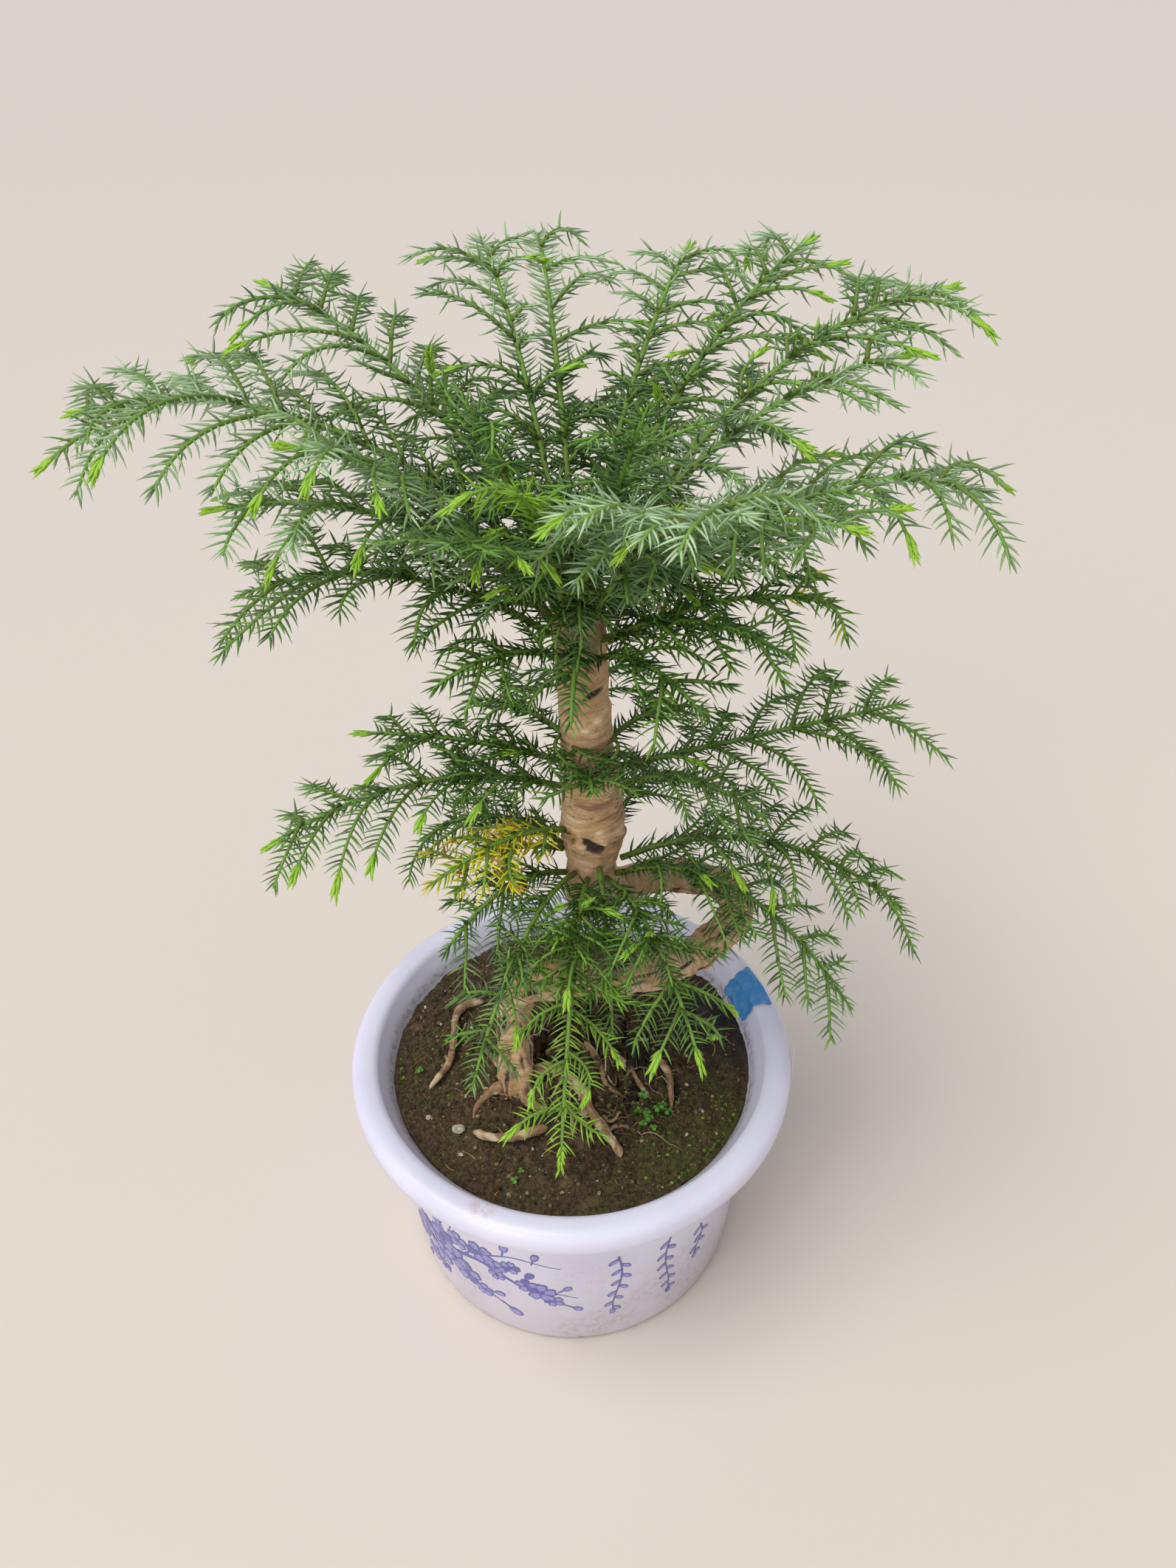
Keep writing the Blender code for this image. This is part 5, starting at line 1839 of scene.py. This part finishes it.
@dataclass
class Foliage:
    """The branches: green twigs clothed in curved awl-shaped needles."""

    growth: Growth
    needle_length: float = 0.0103
    needle_radius: float = 0.00060
    needle_spacing: float = 0.00142
    needle_rings: int = 4
    needle_sides: int = 4
    open_angle: float = math.radians(67)
    flatness: float = 0.42
    inner_per_metre: dict[str, float] = field(default_factory=lambda: {
        "crown_heart": 60.0, "crown_top": 42.0, "crown_mid": 44.0, "crown_low": 46.0, "middle": 30.0,
        "lower": 34.0})
    axis_radii: tuple[float, float] = (0.0019, 0.0010)
    shoot_radii: tuple[float, float] = (0.0012, 0.0007)
    twig_rings: int = 10
    twig_sides: int = 6
    leader_twigs: int = 16
    wander: np.ndarray = field(default_factory=lambda: np.array([0.0, 0.0016, 0.0034]))
    front_height: float = 0.32
    front_bearings: tuple[float, float] = (230.0, 305.0)
    crowded_bearings: tuple[float, float] = (140.0, 305.0)
    crowding: tuple[float, float] = (1.9, 0.5)
    whorl_owner: str = "middle_branch_7"
    leader_owner: str = "crown_heart_branch_1"
    curtain_owner: str = "crown_low_branch_4"
    brush: float = 0.011
    brush_gain: float = 0.003
    brush_needles: int = 12
    whorl_ring: tuple[tuple[float, float, float, float], ...] = (
        (195, 258, 0.398, 0.386), (212, 280, 0.390, 0.379), (345, 285, 0.396, 0.387),
        (328, 262, 0.387, 0.377), (240, 310, 0.396, 0.390), (180, 235, 0.384, 0.376), (0, 300, 0.382, 0.378))
    curtain: tuple[tuple[tuple[float, float, float], ...], ...] = (
        ((0.010, 0.006, 0.486), (0.008, -0.016, 0.476), (0.0030, -0.008, 0.430)),
        ((0.003, 0.007, 0.480), (-0.004, -0.012, 0.472), (-0.0020, -0.006, 0.446)))

    def ring_round_trunk(self) -> np.ndarray:
        """Short twigs that hug the trunk: each starts on it and arcs round to another bearing.

        Returns:
            The curves of the twigs.
        """
        twigs = []
        for first, last, high, low in self.whorl_ring:
            centre, radius = self.growth.stem.trunk_at(high)
            middle = (first + (last if abs(last - first) < 180 else last - 360)) / 2
            stops = ((first, radius, high), (middle, radius + 0.009, (high + low) / 2 + 0.004),
                     (last, radius + 0.006, low))
            twigs.append([tuple(Vector((centre.x, centre.y, z)) + level_bearing(bearing) * out)
                          for bearing, out, z in stops])
        return np.array(twigs)

    def leader(self, chance: np.random.Generator) -> np.ndarray:
        """Short twigs that crowd round the trunk's top and hide it.

        Args:
            chance: the random source.

        Returns:
            The curves of the twigs.
        """
        centre, radius = self.growth.stem.trunk_at(self.growth.stem.rows[-1][2])
        turn = np.arange(self.leader_twigs)[:, None] * GOLDEN_ANGLE
        share = np.sqrt((np.arange(self.leader_twigs)[:, None] + 0.5) / self.leader_twigs)
        out = np.concatenate([np.cos(turn), np.sin(turn), np.zeros_like(turn)], 1)
        up = np.array([[0.0, 0.0, 1.0]])
        start = np.array([tuple(centre)]) + out * radius * 0.8 * share - up * 0.004
        reach = chance.uniform(0.016, 0.030, (self.leader_twigs, 1))
        knee = start + (out * share * 0.8 + up) * reach * 0.5
        return np.stack([start, knee, knee + (out * (0.3 + share) + up * 0.8) * reach * 0.5], 1)

    def in_front(self, plan: Branch) -> bool:
        """Whether the branch hangs in front of the stem's foot, which it leaves in view."""
        low, high = self.front_bearings
        return plan.start_height < self.front_height and low <= plan.tip_bearing <= high

    def inner_shoots(self, name: str, axis: np.ndarray, size: float, crowd: float,
                     chance: np.random.Generator) -> np.ndarray:
        """Short shoots on the branch's older half, all round it, that fill the plant's heart.

        Args:
            name: The branch's name.
            axis: The branch axis, (3, 3).
            size: The length of the branch's side shoots.
            crowd: How crowded they are beside the usual.
            chance: Where its random numbers come from.

        Returns:
            Start, control and end of each, (n, 3, 3).
        """
        length = np.linalg.norm(axis[2] - axis[0])
        count = int(length * self.inner_per_metre[name.split("_branch")[0]] * crowd)
        nearest = 0.26 if self.in_front(BRANCHES[name]) else 0.04
        t = chance.uniform(nearest, nearest + 0.40, (count, 1))
        start, along = quadratic(axis, t)
        along = unit(along)
        across, over = straight_frames(along, np.array([0.0, 0.0, 1.0]))
        phase = np.arange(count)[:, None] * GOLDEN_ANGLE + chance.uniform(0.0, 6.0)
        lean = chance.uniform(math.radians(45), math.radians(72), (count, 1))
        out = along * np.cos(lean) + (across * np.cos(phase) + over * np.sin(phase)) * np.sin(lean)
        out[:, 2] = 0.8 * np.abs(out[:, 2]) - 0.06
        reach = size * chance.uniform(0.30, 0.62, (count, 1))
        knee = start + out * reach * 0.6
        end = knee + unit(out - np.array([0.0, 0.0, 0.35])) * reach * 0.4
        return np.stack([start, knee, end], 1)

    def twigs(self, name: str, plan: Branch, axis: Curve, shoots: list[tuple[float, Curve]],
              chance: np.random.Generator) -> Twigs:
        """The axis and its shoots as smooth curves through their knees.

        Args:
            name: The branch's name.
            plan: The branch.
            axis: Its axis.
            shoots: Its side shoots, each with its place on the axis.
            chance: Where its random numbers come from.

        Returns:
            The twigs, the axis first.
        """
        main = np.array([tuple(p) for p in axis])
        sides = np.array([[tuple(p) for p in route] for _, route in shoots]).reshape(-1, 3, 3)
        slide = unit(main[2] - main[0]) * chance.uniform(-0.0055, 0.0055, (len(sides), 1))
        sides = sides + slide[:, None] + chance.normal(0.0, 1.0, sides.shape) * self.wander[:, None]
        crowd = 1.0
        if not name.startswith("crown"):
            low, high = self.crowded_bearings
            crowd = self.crowding[0] if low <= plan.tip_bearing <= high else self.crowding[1]
        if name == self.curtain_owner:
            sides = sides[sides[:, 2, 0] < self.growth.stem.slit[0] - 0.006]
            shoots = shoots[:len(sides)]
        grown = [sides, self.inner_shoots(name, main, plan.shoot, crowd, chance)]
        if name == self.whorl_owner:
            grown.append(self.ring_round_trunk())
        if name == self.leader_owner:
            grown.append(self.leader(chance))
        if name == self.curtain_owner:
            grown.append(np.array(self.curtain))
        routes = np.concatenate(grown)
        control = 2 * routes[:, 1] - (routes[:, 0] + routes[:, 2]) / 2
        count = len(routes)
        place = np.array([0.5] + [p for p, _ in shoots] + [0.2] * (count - len(shoots)))
        fresh = np.concatenate([[chance.uniform() < plan.fresh * 1.6],
                                chance.uniform(size=count) < plan.fresh * (0.4 + place[1:])]).astype(float)
        start = np.concatenate([main[:1], routes[:, 0]])
        end = np.concatenate([main[2:], routes[:, 2]])
        middle = np.concatenate([main[1:2], control])
        end = end + unit(end - middle) * (0.002 + self.brush_gain * fresh[:, None])
        return Twigs(start, middle, end,
                     np.concatenate([[self.axis_radii[0]], np.full(count, self.shoot_radii[0])]),
                     np.concatenate([[self.axis_radii[1]], np.full(count, self.shoot_radii[1])]),
                     place, fresh)

    def add_twigs(self, shape: Shape, twigs: Twigs) -> None:
        """Round tubes on the twigs' curves, laid as strips along the top of the bake map.

        Args:
            shape: the mesh to add to.
            twigs: the twigs.
        """
        count, rings, sides = len(twigs.start), self.twig_rings, self.twig_sides
        owner = np.repeat(np.arange(count)[:, None], rings, 1)
        t = np.broadcast_to(np.linspace(0.0, 1.0, rings), (count, rings))
        radii = twigs.thick[:, None] + (twigs.thin - twigs.thick)[:, None] * t
        radii = radii * np.sqrt(np.clip((1.03 - t) / 0.12, 0.0, 1.0))
        points = thin_tubes(twigs.at(owner, t)[0], radii, sides)
        walls, caps = tube_faces(count, rings, sides)
        strip = 0.86 + 0.13 * np.arange(count)[:, None, None, None] / count
        ring = np.arange(rings - 1)[None, :, None, None]
        side = np.arange(sides)[None, None, :, None]
        step_u, step_v = np.array([0, 0, 1, 1]), np.array([0, 1, 1, 0])
        u = 0.01 + 0.98 * (ring + step_u) / (rings - 1) + 0.0 * strip + 0.0 * side
        v = strip + 0.13 / count * 0.9 * (side + step_v) / sides + 0.0 * ring
        spot = np.stack([np.full(caps.shape, 0.5), np.repeat(strip.ravel(), 2)[:, None] + 0.0 * caps], -1)
        shape.add(points, [walls, caps], 1, [np.stack([u, v], -1), spot], along=np.repeat(t.ravel(), sides),
                  lot=0.5, bloom=0.0, fresh=0.0, gold=0.0)

    def add_needles(self, shape: Shape, plan: Branch, twigs: Twigs, chance: np.random.Generator) -> None:
        """Clothe the twigs in needles, each a curved tapering blade of four sides.

        Needles follow each other round the twig by the golden angle, drawn towards the frond's
        plane. One leaves the twig at the open angle and bends forward; near the tip they close up.

        Args:
            shape: The mesh that gains them.
            plan: The branch.
            twigs: Its twigs.
            chance: Where its random numbers come from.
        """
        lengths = twigs.lengths()
        bare = np.where(np.arange(len(lengths)) == 0, 0.014 if self.in_front(plan) else 0.004, 0.001)
        spacing = self.needle_spacing * np.where(np.arange(len(lengths)) == 0, 0.70, 1.0)
        counts = np.maximum(1, ((lengths - bare) / spacing).astype(int))
        owner = np.repeat(np.arange(len(lengths)), counts)
        order = np.arange(counts.sum()) - np.repeat(np.cumsum(counts) - counts, counts)
        from_start = bare[owner] + (order + chance.uniform(0.2, 0.8, len(owner))) * spacing[owner]
        brushes = np.repeat(np.flatnonzero(twigs.fresh), self.brush_needles)
        back = np.tile(np.linspace(0.0, 0.8 * self.brush, self.brush_needles), int(twigs.fresh.sum()))
        from_start = np.concatenate([from_start, np.maximum(lengths[brushes] - back, 0.0)])
        order = np.concatenate([order, np.arange(len(brushes)) + 0.5])
        owner = np.concatenate([owner, brushes])
        total = len(owner)
        t = np.clip(from_start / lengths[owner], 0.0, 1.0)
        to_tip = np.maximum(lengths[owner] - from_start, 0.0)
        fresh = twigs.fresh[owner] * smooth_step(-to_tip, -self.brush, -self.brush * 0.72)
        closing = 1.0 - smooth_step(to_tip, 0.0, 0.011)
        angle = self.open_angle * (1.0 - 0.62 * closing) * chance.uniform(0.90, 1.10, total)
        angle = angle + (math.radians(14.0) * chance.uniform(0.6, 1.4, total) - angle) * fresh
        phase = order * GOLDEN_ANGLE + owner * 1.7 + chance.normal(0.0, 0.16, total)
        phase = phase - 0.42 * np.sin(2.0 * phase)
        place, along = twigs.at(owner, t)
        along = unit(along)
        across, over = straight_frames(along, NOT_ALONG)
        out = unit(across * np.cos(phase)[:, None] + over * (np.sin(phase) * self.flatness)[:, None])
        direction = along * np.cos(angle)[:, None] + out * np.sin(angle)[:, None]
        length = self.needle_length * chance.uniform(0.84, 1.12, total)
        length *= (0.80 + 0.20 * smooth_step(from_start, 0.0, 0.012)) * (1.0 - 0.42 * closing)
        length = length + (0.0068 * chance.uniform(0.8, 1.1, total) - length) * fresh
        radius = np.where(owner == 0, twigs.thick[owner] * (1 - t) + twigs.thin[owner] * t,
                          twigs.thin[owner])
        foot = place + out * (radius * 0.55)[:, None]
        share = np.linspace(0.0, 1.0, self.needle_rings)
        bend = (along * (0.20 + 0.07 * chance.uniform(-1.0, 1.0, total))[:, None]
                - np.array([0.0, 0.0, 0.05])) * (1.0 - fresh)[:, None]
        reach = length[:, None, None] * (direction[:, None] * share[:, None]
                                         + bend[:, None] * (share ** 2)[:, None])
        width = np.array([0.80, 1.0, 0.66, 0.06]) * self.needle_radius
        radii = width[None] * (chance.uniform(0.85, 1.2, (total, 1)) + 0.20 * fresh[:, None])
        points = thin_tubes(foot[:, None] + reach, radii, self.needle_sides)
        each = self.needle_rings * self.needle_sides
        old = 1.0 - np.where(owner == 0, t, twigs.place[owner] * 0.6 + t * 0.4)
        waxy, golden, young = plan.tone.value
        patch = smooth_step(waves(foot, 0.075, 72), -0.55, 0.70)
        bloom = waxy * (1.20 - 1.05 * old) * (0.35 + 0.65 * patch) * chance.uniform(0.5, 1.3, total)
        dry = chance.uniform(size=total) < golden * (0.25 + waves(foot, 0.03, 71) ** 2)
        gold = np.where(dry, 0.30 + 0.70 * chance.uniform(0.0, 1.0, total) ** 2.6, 0.0)
        young = young * smooth_step(1.0 - old, 0.35, 0.75) * chance.uniform(0.7, 1.0, total)
        # age and painted shade: lot, and with it the green, falls towards each branch's inner end, for older
        # needles and as painted shade inside the crown
        shape.add(points, list(tube_faces(total, self.needle_rings, self.needle_sides)), 0,
                  self.needle_map(total), along=np.tile(np.repeat(share, self.needle_sides), total),
                  lot=np.repeat(chance.uniform(size=total) * (1.0 - 0.8 * old), each),
                  bloom=np.repeat(np.clip(bloom, 0.0, 1.0), each),
                  fresh=np.repeat(np.maximum(fresh, young), each), gold=np.repeat(gold, each))

    def needle_map(self, total: int) -> list[np.ndarray]:
        """Give each needle its own cell of the bake map: sides across it, rings up it.

        Args:
            total: number of needles.

        Returns:
            The cell's coordinates for each face.
        """
        columns = math.ceil(math.sqrt(total))
        cell = np.array([1.0, 0.84]) / columns
        corner = np.stack([np.arange(total) % columns, np.arange(total) // columns], -1) * cell
        rings, sides = self.needle_rings, self.needle_sides
        ring, side = np.meshgrid(np.arange(rings - 1), np.arange(sides), indexing="ij")
        steps = np.array([(0, 0), (1, 0), (1, 1), (0, 1)])
        place = np.stack([(side[..., None] + steps[:, 0]) / sides,
                          (ring[..., None] + steps[:, 1]) / (rings - 1)], -1).reshape(-1, 4, 2)
        walls = corner[:, None, None] + cell * (0.08 + 0.84 * place[None])
        ends = np.concatenate([corner + cell * (0.5, 0.1), corner + cell * (0.5, 0.9)])
        return [walls.reshape(-1, 2), np.repeat(ends, sides, 0)]

    def build(self) -> np.ndarray:
        """Make one piece for each branch.

        Returns:
            Where the branches leave the trunk, (n, 3).
        """
        materials = [Needles().make(), GreenTwig().make()]
        feet = []
        for seed, (name, (axis, shoots)) in enumerate(self.growth.grow().items()):
            chance = np.random.default_rng(100 + seed)
            plan = BRANCHES[name]
            twigs = self.twigs(name, plan, axis, shoots, chance)
            shape = Shape()
            self.add_needles(shape, plan, twigs, chance)
            self.add_twigs(shape, twigs)
            settle(shape.build(name + "_leaves", materials), "foliage", name)
            feet.append(tuple(axis[0]))
        return np.array(feet)


# ---------------------------------------------------------------- small things


@dataclass
class Tape:
    """A patch of blue tape folded over the lip and down inside the mouth."""

    pot: Pot
    bearings: tuple[float, float] = (13.0, 27.0)
    thickness: float = 0.00022
    lift: float = 0.0009
    columns: int = 36
    rows: int = 60

    def build(self) -> None:
        """Offset the lip's section outwards along its normal, creased by soft bumps, as a thin sheet."""
        inside = np.array([(self.pot.inner_radius(h), h) for h in (0.1610, 0.1580, 0.1550)])
        line = catmull(np.concatenate([self.pot.lip_top()[6:], inside]), 8)
        run = distances(line)
        even = np.linspace(0.0, run[-1], self.rows)
        line = np.stack([np.interp(even, run, line[:, 0]), np.interp(even, run, line[:, 1])], -1)
        slope = unit(np.gradient(line, axis=0))
        normal = np.stack([slope[:, 1], -slope[:, 0]], -1)
        u = np.linspace(0.0, 1.0, self.columns)
        v = np.linspace(0.0, 1.0, self.rows)
        ragged = 0.35 * np.sin(9.0 * v + 1.0) + 0.25 * np.sin(23.0 * v)
        angle = np.radians(self.bearings[0] + (self.bearings[1] - self.bearings[0]) * u[None]
                           + ragged[:, None] * (2.0 * u[None] - 1.0))
        flat = np.stack([angle * self.pot.lip_radius, np.broadcast_to(even[:, None], angle.shape),
                         np.zeros_like(angle)], -1)
        crease = 0.00030 * waves(flat.reshape(-1, 3), 0.009, 81).reshape(angle.shape)
        shape = Shape()
        for side, lift in enumerate((self.lift, self.lift + self.thickness)):
            radius = line[:, :1] + normal[:, :1] * (lift + crease)
            height = line[:, 1:] + normal[:, 1:] * (lift + crease)
            points = np.stack([radius * np.cos(angle), radius * np.sin(angle), height], -1)
            faces = grid_faces(self.rows, self.columns)
            shape.add(points, [faces[:, ::-1] if side == 0 else faces])
        number = np.arange(self.rows * self.columns).reshape(self.rows, self.columns)
        rim = np.concatenate([number[0], number[1:, -1], number[-1, -2::-1], number[-2:0:-1, 0]])
        after = np.roll(rim, -1)
        top = self.rows * self.columns
        shape.faces.append(np.stack([rim, after, after + top, rim + top], -1))
        shape.slots.append(np.zeros(len(rim)))
        settle(shape.build("tape_film", [Film().make()]), "tape", "tape_patch")


@dataclass
class Pebble:
    """The small pale stone on the soil."""

    rings: int = 40
    sides: int = 56

    def build(self) -> None:
        """A ball stretched to the stone's box and dented by soft bumps."""
        low, high = (np.array(corner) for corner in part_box("pebble"))
        centre, half = (low + high) / 2, (high - low) / 2
        tilt = np.linspace(0.03, np.pi - 0.03, self.rings)[:, None]
        turn = circle(self.sides)[0][None]
        ball = np.stack([np.sin(tilt) * np.cos(turn), np.sin(tilt) * np.sin(turn),
                         -np.cos(tilt) * np.ones_like(turn)], -1).reshape(-1, 3)
        dented = ball * (0.98 + 0.07 * waves(ball, 1.3, 91) + 0.025 * waves(ball, 0.4, 92))[:, None]
        walls, caps = tube_faces(1, self.rings, self.sides)
        shape = Shape()
        shape.add(centre + dented * half - np.array([0.0, 0.0, 0.0012]), [walls, caps],
                  lot=0.5 + 0.3 * waves(ball, 0.7, 93))
        finish = Scatter("pale_stone", ((0.0, (128, 120, 106)), (0.5, (176, 170, 156)),
                                        (1.0, (206, 202, 192))), 0.7)
        settle(shape.build("pebble_stone", [finish.make()]), "stone", "pebble")


@dataclass
class Seedlings:
    """Clover-like weeds: thin stalks that each carry three heart-shaped leaflets."""

    soil: Soil
    plants: tuple[tuple[float, float, float, float], ...] = (
        (0.0470, -0.0570, 0.0075, 0.0036), (0.0430, -0.0440, 0.0090, 0.0036),
        (0.0565, -0.0475, 0.0070, 0.0036), (0.0440, -0.0600, 0.0045, 0.0030),
        (0.0530, -0.0500, 0.0060, 0.0030), (0.0410, -0.0480, 0.0048, 0.0028),
        (0.0600, -0.0500, 0.0040, 0.0028), (0.0455, -0.0520, 0.0060, 0.0030),
        (0.0490, -0.0620, 0.0040, 0.0026), (-0.0962, -0.0140, 0.0030, 0.0026),
        (-0.0317, -0.0927, 0.0028, 0.0028), (-0.0290, -0.0890, 0.0022, 0.0022))
    leaf_rings: int = 6
    leaf_sides: int = 18

    def leaflet(self, centre: np.ndarray, size: float, turn: float, dip: float) -> np.ndarray:
        """A cupped heart: polar outline with a notch at its far side, drawn in ring by ring.

        Args:
            centre: the leaf's middle.
            size: length of the leaflet.
            turn: its direction, in radians.
            dip: how far it hangs.

        Returns:
            Rings of points.
        """
        share = np.linspace(1.0, 0.02, self.leaf_rings)[:, None]
        a = circle(self.leaf_sides)[0][None]
        reach = size * 0.5 * (1.0 - 0.34 * np.exp(-(np.minimum(a, 2 * np.pi - a) / 0.42) ** 2))
        x, y = size * 0.52 + reach * np.cos(a) * share, reach * 0.94 * np.sin(a) * share
        z = -dip * x + size * 0.22 * share ** 2 * np.ones_like(a)
        c, s = math.cos(turn), math.sin(turn)
        return centre + np.stack([x * c - y * s, x * s + y * c, z], -1)

    def build(self) -> None:
        """Stalks as thin tubes, leaflets as cupped sheets closed underneath."""
        shape = Shape()
        chance = np.random.default_rng(95)
        count = len(self.plants)
        plants = np.array(self.plants)
        base = self.soil.crumbled(plants[:, 0], plants[:, 1])
        foot = np.stack([plants[:, 0], plants[:, 1], base - 0.0005], -1)
        top = foot + np.stack([chance.uniform(-0.0015, 0.0015, count), chance.uniform(-0.0015, 0.0015, count),
                               plants[:, 2]], -1)
        t = np.linspace(0.0, 1.0, 5)[None, :, None]
        stalks = foot[:, None] + (top - foot)[:, None] * t
        shape.add(thin_tubes(stalks, np.full((count, 5), 0.00026), 5), list(tube_faces(count, 5, 5)),
                  lot=0.35)
        faces = grid_faces(self.leaf_rings, self.leaf_sides, True)
        hub = (self.leaf_rings - 1) * self.leaf_sides + np.arange(self.leaf_sides)[None]
        for i in range(count):
            for k in range(3):
                turn = chance.uniform(0.0, 0.5) + i * 1.1 + k * 2.0 * math.pi / 3
                leaf = self.leaflet(top[i], plants[i, 3], turn, chance.uniform(-0.1, 0.35))
                under = leaf - np.array([0.0, 0.0, 0.00018])
                lot = float(chance.uniform(0.3, 1.0))
                shape.add(leaf, [faces, hub], lot=lot)
                shape.add(under, [faces[:, ::-1], hub[:, ::-1]], lot=lot)
        finish = Scatter("clover_leaf", ((0.0, (48, 84, 24)), (0.5, (72, 122, 34)),
                                         (1.0, (98, 152, 46))), 0.5)
        settle(shape.build("weed_leaves", [finish.make()]), "seedling", "weed_seedling")


# ---------------------------------------------------------------- the studio


@dataclass
class Studio:
    """A plain pale floor, soft light and the camera."""

    camera_place: tuple[float, float, float] = (0.0118, -0.4921, 0.7641)
    pitch: float = 38.18
    roll: float = 0.12
    lens: float = 27.05
    sensor: float = 36.0
    floor_half: float = 16.0

    def light(self, name: str, way: tuple[float, float, float], strength: float, spread: float,
              colour: Colour) -> None:
        """A far soft lamp that shines one way, `spread` degrees wide.

        Args:
            name: the lamp's name.
            way: where it points.
            strength: its strength.
            spread: its width, in degrees.
            colour: its colour.
        """
        data = bpy.data.lights.new(name, "SUN")
        data.energy, data.angle, data.color = strength, math.radians(spread), colour
        lamp = bpy.data.objects.new(name, data)
        lamp.rotation_euler = Vector(way).to_track_quat("-Z", "Y").to_euler()
        bpy.context.scene.collection.objects.link(lamp)

    def build(self) -> None:
        """Floor, world, lamps, camera and plain colour handling."""
        half = self.floor_half
        shape = Shape()
        corners = np.array([(-half, -half, 0.0), (half, -half, 0.0), (half, half, 0.0), (-half, half, 0.0)])
        shape.add(corners, [np.array([[0, 1, 2, 3]])])
        floor = shape.build("floor", [Floor().make()], smooth=False)
        scene = bpy.context.scene
        world = bpy.data.worlds.new("soft_room")
        world.use_nodes = True
        back = world.node_tree.nodes["Background"]
        back.inputs["Color"].default_value = (0.95, 0.97, 1.0, 1.0)
        back.inputs["Strength"].default_value = 0.48
        scene.world = world
        self.light("ceiling_light", (0.42, 0.20, -1.0), 1.50, 38.0, (1.0, 0.985, 0.96))
        self.light("room_light", (0.55, 0.85, -0.55), 0.85, 36.0, (1.0, 0.995, 0.98))
        data = bpy.data.cameras.new("camera")
        data.sensor_fit, data.sensor_height, data.sensor_width = "AUTO", self.sensor, self.sensor
        data.lens = self.lens
        data.clip_start, data.clip_end = 0.01, 50.0
        camera = bpy.data.objects.new("camera", data)
        camera.location = self.camera_place
        camera.rotation_euler = Euler((math.radians(90.0 - self.pitch), math.radians(self.roll), 0.0))
        scene.collection.objects.link(camera)
        scene.camera = camera
        scene.view_settings.view_transform = "Standard"


def main() -> None:
    """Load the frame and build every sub-assembly in order."""
    logging.basicConfig(level=logging.INFO, format="%(name)s: %(message)s")
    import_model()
    pot = Pot()
    pot.build()
    BlossomPrint(pot).build()
    soil = Soil(pot)
    soil.build()
    Litter(soil).build()
    stem = Stem()
    feet = Foliage(Growth(stem)).build()
    stem.build(feet)
    SurfaceRoots(soil).build()
    Tape(pot).build()
    Pebble().build()
    Seedlings(soil).build()
    Studio().build()
    bpy.context.view_layer.update()


if __name__ == "__main__":
    main()
